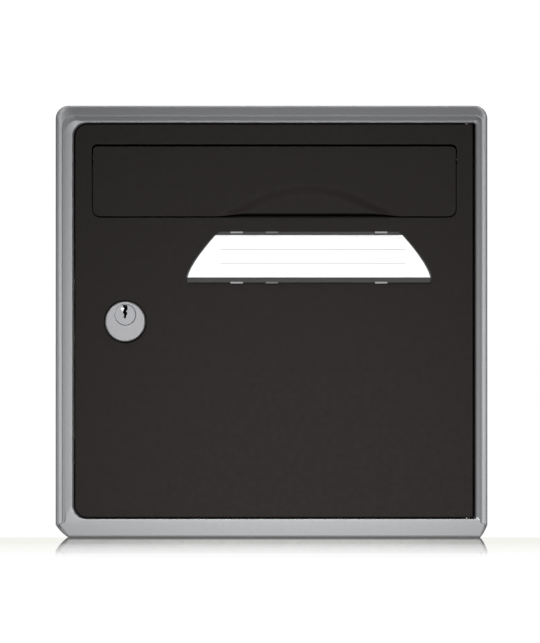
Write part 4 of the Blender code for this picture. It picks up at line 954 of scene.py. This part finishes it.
def make_lock_body():
    front = lock_low.y
    back = DOOR_FRONT - FIT
    rear = lock_high.y
    barrel = circle(LOCK, BARREL_RADIUS, BARREL_FLAT)
    rings = face_rings(LOCK, ROSETTE_RADIUS, front, ROSETTE_EDGE, EDGE_STEPS)
    rings.append(at_depth(circle(LOCK, ROSETTE_RADIUS), back))
    rings += [at_depth(barrel, y) for y in (back, rear)]
    body = skin_piece("lock_rosette", [(rings, False)])
    bore = circle(PLUG, PLUG_RADIUS + FIT)
    carve(body, [[at_depth(bore, y) for y in (front - SHEET, rear + SHEET)]])
    seat = circle(PLUG + SEAT_SHIFT, SEAT_RADIUS)
    seat_depth = front + PLUG_FACE_THICKNESS + FIT
    carve(body, [[at_depth(seat, y) for y in (front - SHEET, seat_depth)]])
    depth = BARREL_FLAT - CLIP_GROOVE
    outer = BARREL_RADIUS + SHEET
    clip_low, clip_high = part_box("lock_clip")
    grooves = []
    for near, far in ((-outer, -depth), (depth, outer)):
        box = (LOCK.x + near, LOCK.x + far, LOCK.z - outer, LOCK.z + outer)
        grooves.append(block(box, clip_low.y - FIT, clip_high.y + FIT))
    carve(body, grooves)
    # painted shade on the walls and floor of the plug's seat and bore
    paint_shade_inside(body, PLUG + SEAT_SHIFT, SEAT_RADIUS, front, rear, BODY_PAINTED_SHADE)
    soften(body, LOCK_EASING)
    take_place(body, "lock_body", "door", "satin_nickel", FINISHES["satin_nickel"], KEYWAY_PAINTED_SHADE)


def around_plug(outline):
    """(x, z) points given in millimetres from the plug's centre."""
    return [(PLUG.x + x * MM, PLUG.z + z * MM) for x, z in outline]


def make_lock_plug():
    front = plug_low.y
    rear = lock_high.y + FIT
    rings = face_rings(PLUG, PLUG_FACE, front, PLUG_EDGE, PLUG_EDGE_STEPS)
    rings.append(at_depth(circle(PLUG, PLUG_FACE), front + PLUG_FACE_THICKNESS))
    stem = circle(PLUG, PLUG_RADIUS)
    rings += [at_depth(stem, y) for y in (front + PLUG_FACE_THICKNESS, rear)]
    plug = skin_piece("lock_plug_face", [(rings, False)])
    tail = (PLUG.x - TAIL_HALF, PLUG.x + TAIL_HALF, PLUG.z - TAIL_HALF, PLUG.z + TAIL_HALF)
    carve(plug, [block(tail, rear - SHEET, plug_high.y)], "UNION")
    keyway = around_plug(KEYWAY)
    carve(plug, [[at_depth(keyway, y) for y in (front - SHEET, front + KEYWAY_DEPTH)]])
    soften(plug, PLUG_EASING)
    # painted shade inside the keyway
    paint_shade_inside(plug, PLUG, PLUG_FACE - FIT, front, front + KEYWAY_DEPTH, PLUG_PAINTED_SHADE)
    bm = bmesh.new()
    bm.from_mesh(plug.data)
    # a thin raised patch painted near white: a painted highlight beside the keyway
    glint_patch = around_plug(GLINT)
    ends = (front - GLINT_RISE, front + GLINT_ROOT)
    add_skin(bm, [at_depth(glint_patch, y) for y in ends], finish=PLUG_PAINTED_HIGHLIGHT)
    bmesh.ops.recalc_face_normals(bm, faces=bm.faces[:])
    bm.to_mesh(plug.data)
    bm.free()
    take_place(plug, "lock_plug", "lock_plug", "satin_nickel", PLUG_FINISH, GLINT_PAINTED_HIGHLIGHT, KEYWAY_PAINTED_SHADE)


# Springs on the flap's rod

SPRING_WIRE = 0.3 * MM
SPRING_RADIUS = 1.95 * MM
SPRING_TURNS = 4
SPRING_LENGTH = 8 * MM
SPRING_LEG = 5.5 * MM
SPRING_STEPS = 20
WIRE_SIDES = 10


def spring_path(start_x, inwards):
    """A coil round the rod: one leg up behind the flap's top, one back to its rest."""
    steps = SPRING_TURNS * SPRING_STEPS + SPRING_STEPS // 4
    points = []
    for step in range(steps + 1):
        angle = -pi / 2 + 2 * pi * step / SPRING_STEPS
        x = start_x + inwards * SPRING_LENGTH * step / steps
        y = FLAP_AXIS_Y + SPRING_RADIUS * cos(angle)
        points.append(Vector((x, y, FLAP_AXIS_Z + SPRING_RADIUS * sin(angle))))
    return [points[0] + Vector((0, SPRING_LEG, 0)), *points, points[-1] + Vector((0, 0, SPRING_LEG))]


def tube(name, path, radius):
    """A round wire along a path."""
    bm = bmesh.new()
    rings = []
    turns = [2 * pi * side / WIRE_SIDES for side in range(WIRE_SIDES)]
    for index, point in enumerate(path):
        ahead = path[min(index + 1, len(path) - 1)]
        behind = path[max(index - 1, 0)]
        along = (ahead - behind).to_track_quat("Z", "Y")
        rings.append([point + along @ Vector((radius * cos(t), radius * sin(t), 0)) for t in turns])
    add_skin(bm, rings)
    return piece_from(name, bm)


def make_springs():
    for side, inwards in (("left", 1), ("right", -1)):
        node = f"flap_spring_{side}"
        low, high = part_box(node)
        start_x = (low.x if inwards > 0 else high.x) + inwards * SPRING_WIRE
        coil = tube(f"spring_coil_{side}", spring_path(start_x, inwards), SPRING_WIRE)
        soften(coil)
        coil.data.materials.append(FINISHES["zinc_plated_steel"])
        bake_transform(coil)
        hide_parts(node)


# The CAD parts that show as they are

SMALL = 4 * MM  # a part thinner than this gets the finer easing
SMALL_EASING = 0.1 * MM
LARGE_EASING = 0.25 * MM


def dress_parts():
    slots = {part["node"]: part["material_slot"] for part in frame["record"]["subparts"]}
    for name, obj in frame["nodes"].items():
        if obj.hide_render:
            continue
        for material_slot in obj.material_slots:
            material_slot.link = "OBJECT"
            material_slot.material = FINISHES[slots[name]]
        low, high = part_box(name)
        width = LARGE_EASING if min(high - low) > SMALL else SMALL_EASING
        soften(obj, width, weld=True)


# Stage


def floor_material():
    """A pale floor that mirrors the box softly just in front of it."""
    made = bpy.data.materials.new("floor_pale")
    made.use_nodes = True
    nodes, links = made.node_tree.nodes, made.node_tree.links
    shader = nodes["Principled BSDF"]
    shader.inputs["Base Color"].default_value = (0.03, 0.03, 0.03, 1)
    shader.inputs["Roughness"].default_value = 0.9
    shader.inputs["Specular IOR Level"].default_value = 0.0
    shader.inputs["Emission Color"].default_value = WHITE
    shader.inputs["Emission Strength"].default_value = 1.0
    mirror = nodes.new("ShaderNodeBsdfGlossy")
    mirror.inputs["Roughness"].default_value = 0.0
    mirror.inputs["Color"].default_value = MIRROR_TINT
    place = nodes.new("ShaderNodeNewGeometry").outputs["Position"]
    split = nodes.new("ShaderNodeSeparateXYZ")
    links.new(place, split.inputs[0])
    ahead = nodes.new("ShaderNodeMapRange")
    ahead.inputs["From Min"].default_value = FRONT + MIRROR_START
    ahead.inputs["From Max"].default_value = FRONT + MIRROR_START - MIRROR_REACH
    links.new(split.outputs["Y"], ahead.inputs["Value"])
    ramp = nodes.new("ShaderNodeValToRGB")
    links.new(ahead.outputs["Result"], ramp.inputs["Fac"])
    elements = ramp.color_ramp.elements
    elements[0].position, elements[1].position = MIRROR_FADE[0][0], MIRROR_FADE[-1][0]
    for position, _ in MIRROR_FADE[1:-1]:
        elements.new(position)
    for element, (_, level) in zip(elements, MIRROR_FADE):
        element.color = (level, level, level, 1)
    grazing = nodes.new("ShaderNodeLayerWeight")
    grazing.inputs["Blend"].default_value = 0.5
    power = nodes.new("ShaderNodeMath")
    power.operation = "POWER"
    links.new(grazing.outputs["Facing"], power.inputs[0])
    power.inputs[1].default_value = GRAZING_POWER
    scaled = nodes.new("ShaderNodeMath")
    scaled.operation = "MULTIPLY"
    scaled.use_clamp = True
    links.new(power.outputs[0], scaled.inputs[0])
    scaled.inputs[1].default_value = GRAZING_GAIN
    product = nodes.new("ShaderNodeMath")
    product.operation = "MULTIPLY"
    links.new(ramp.outputs["Color"], product.inputs[0])
    links.new(scaled.outputs[0], product.inputs[1])
    mix = nodes.new("ShaderNodeMixShader")
    links.new(product.outputs[0], mix.inputs["Fac"])
    links.new(shader.outputs[0], mix.inputs[1])
    links.new(mirror.outputs[0], mix.inputs[2])
    links.new(mix.outputs[0], nodes["Material Output"].inputs["Surface"])
    return made


def make_floor():
    """A wide floor under the box, which shines on nothing but shows the box mirrored."""
    bm = bmesh.new()
    half = FLOOR_SIZE / 2
    corners = [(-half, -half), (half, -half), (half, half), (-half, half)]
    bm.faces.new([bm.verts.new((x, y, OUTER[BOTTOM])) for x, y in corners])
    floor = piece_from("floor", bm)
    floor.data.materials.append(floor_material())
    floor.visible_diffuse = False
    floor.visible_glossy = False


def make_world():
    """Soft light from all round, stronger from behind, in front of a white backdrop."""
    world = bpy.data.worlds.new("studio")
    bpy.context.scene.world = world
    world.use_nodes = True
    nodes, links = world.node_tree.nodes, world.node_tree.links
    shade = nodes["Background"]
    direction = nodes.new("ShaderNodeTexCoord").outputs["Generated"]
    split = nodes.new("ShaderNodeSeparateXYZ")
    links.new(direction, split.inputs[0])
    level = nodes.new("ShaderNodeMapRange")
    level.inputs["From Min"].default_value = 0.0
    level.inputs["From Max"].default_value = BACK_FILL_FROM
    level.inputs["To Min"].default_value = FILL
    level.inputs["To Max"].default_value = BACK_FILL
    links.new(split.outputs["Y"], level.inputs["Value"])
    links.new(level.outputs["Result"], shade.inputs["Strength"])
    shade.inputs["Color"].default_value = WHITE
    bright = nodes.new("ShaderNodeBackground")
    bright.inputs["Color"].default_value = WHITE
    bright.inputs["Strength"].default_value = BACKDROP
    path = nodes.new("ShaderNodeLightPath")
    seen = nodes.new("ShaderNodeMath")
    seen.operation = "MAXIMUM"
    links.new(path.outputs["Is Camera Ray"], seen.inputs[0])
    links.new(path.outputs["Is Singular Ray"], seen.inputs[1])
    mix = nodes.new("ShaderNodeMixShader")
    links.new(seen.outputs[0], mix.inputs["Fac"])
    links.new(shade.outputs[0], mix.inputs[1])
    links.new(bright.outputs[0], mix.inputs[2])
    links.new(mix.outputs[0], nodes["World Output"].inputs["Surface"])


def make_lights():
    front = bpy.data.lights.new("front_light", "SPOT")
    front.shadow_soft_size = FRONT_LIGHT_RADIUS
    front.spot_size = FRONT_LIGHT_CONE
    front.spot_blend = 1.0
    front.energy = FRONT_LIGHT_POWER
    place_light(front, FRONT_LIGHT, FRONT_LIGHT_AIM)
    top = bpy.data.lights.new("top_light", "AREA")
    top.shape = "DISK"
    top.size = TOP_LIGHT_SIZE
    top.energy = TOP_LIGHT_POWER
    place_light(top, TOP_LIGHT, Vector((0, FRONT, 0)))


def place_light(light, position, target):
    lamp = bpy.data.objects.new(light.name, light)
    bpy.context.scene.collection.objects.link(lamp)
    lamp.location = position
    lamp.rotation_mode = "QUATERNION"
    lamp.rotation_quaternion = (position - target).to_track_quat("Z", "Y")
    lamp.visible_camera = False


def make_camera():
    data = bpy.data.cameras.new("camera")
    data.sensor_width = SENSOR
    data.lens = SENSOR * CAMERA_DISTANCE / VIEW_HEIGHT
    data.clip_end = FAR_CLIP
    camera = bpy.data.objects.new("camera", data)
    bpy.context.scene.collection.objects.link(camera)
    camera.location = (CAMERA_X, FRONT - CAMERA_DISTANCE, CAMERA_Z)
    camera.rotation_euler = (pi / 2, 0, 0)
    bpy.context.scene.camera = camera


make_camera()
make_front_frame()
make_door_panel()
make_letter_flap()
make_name_plate()
make_lock_body()
make_lock_plug()
make_springs()
dress_parts()
make_floor()
make_world()
make_lights()
bpy.context.scene.view_settings.view_transform = "Standard"
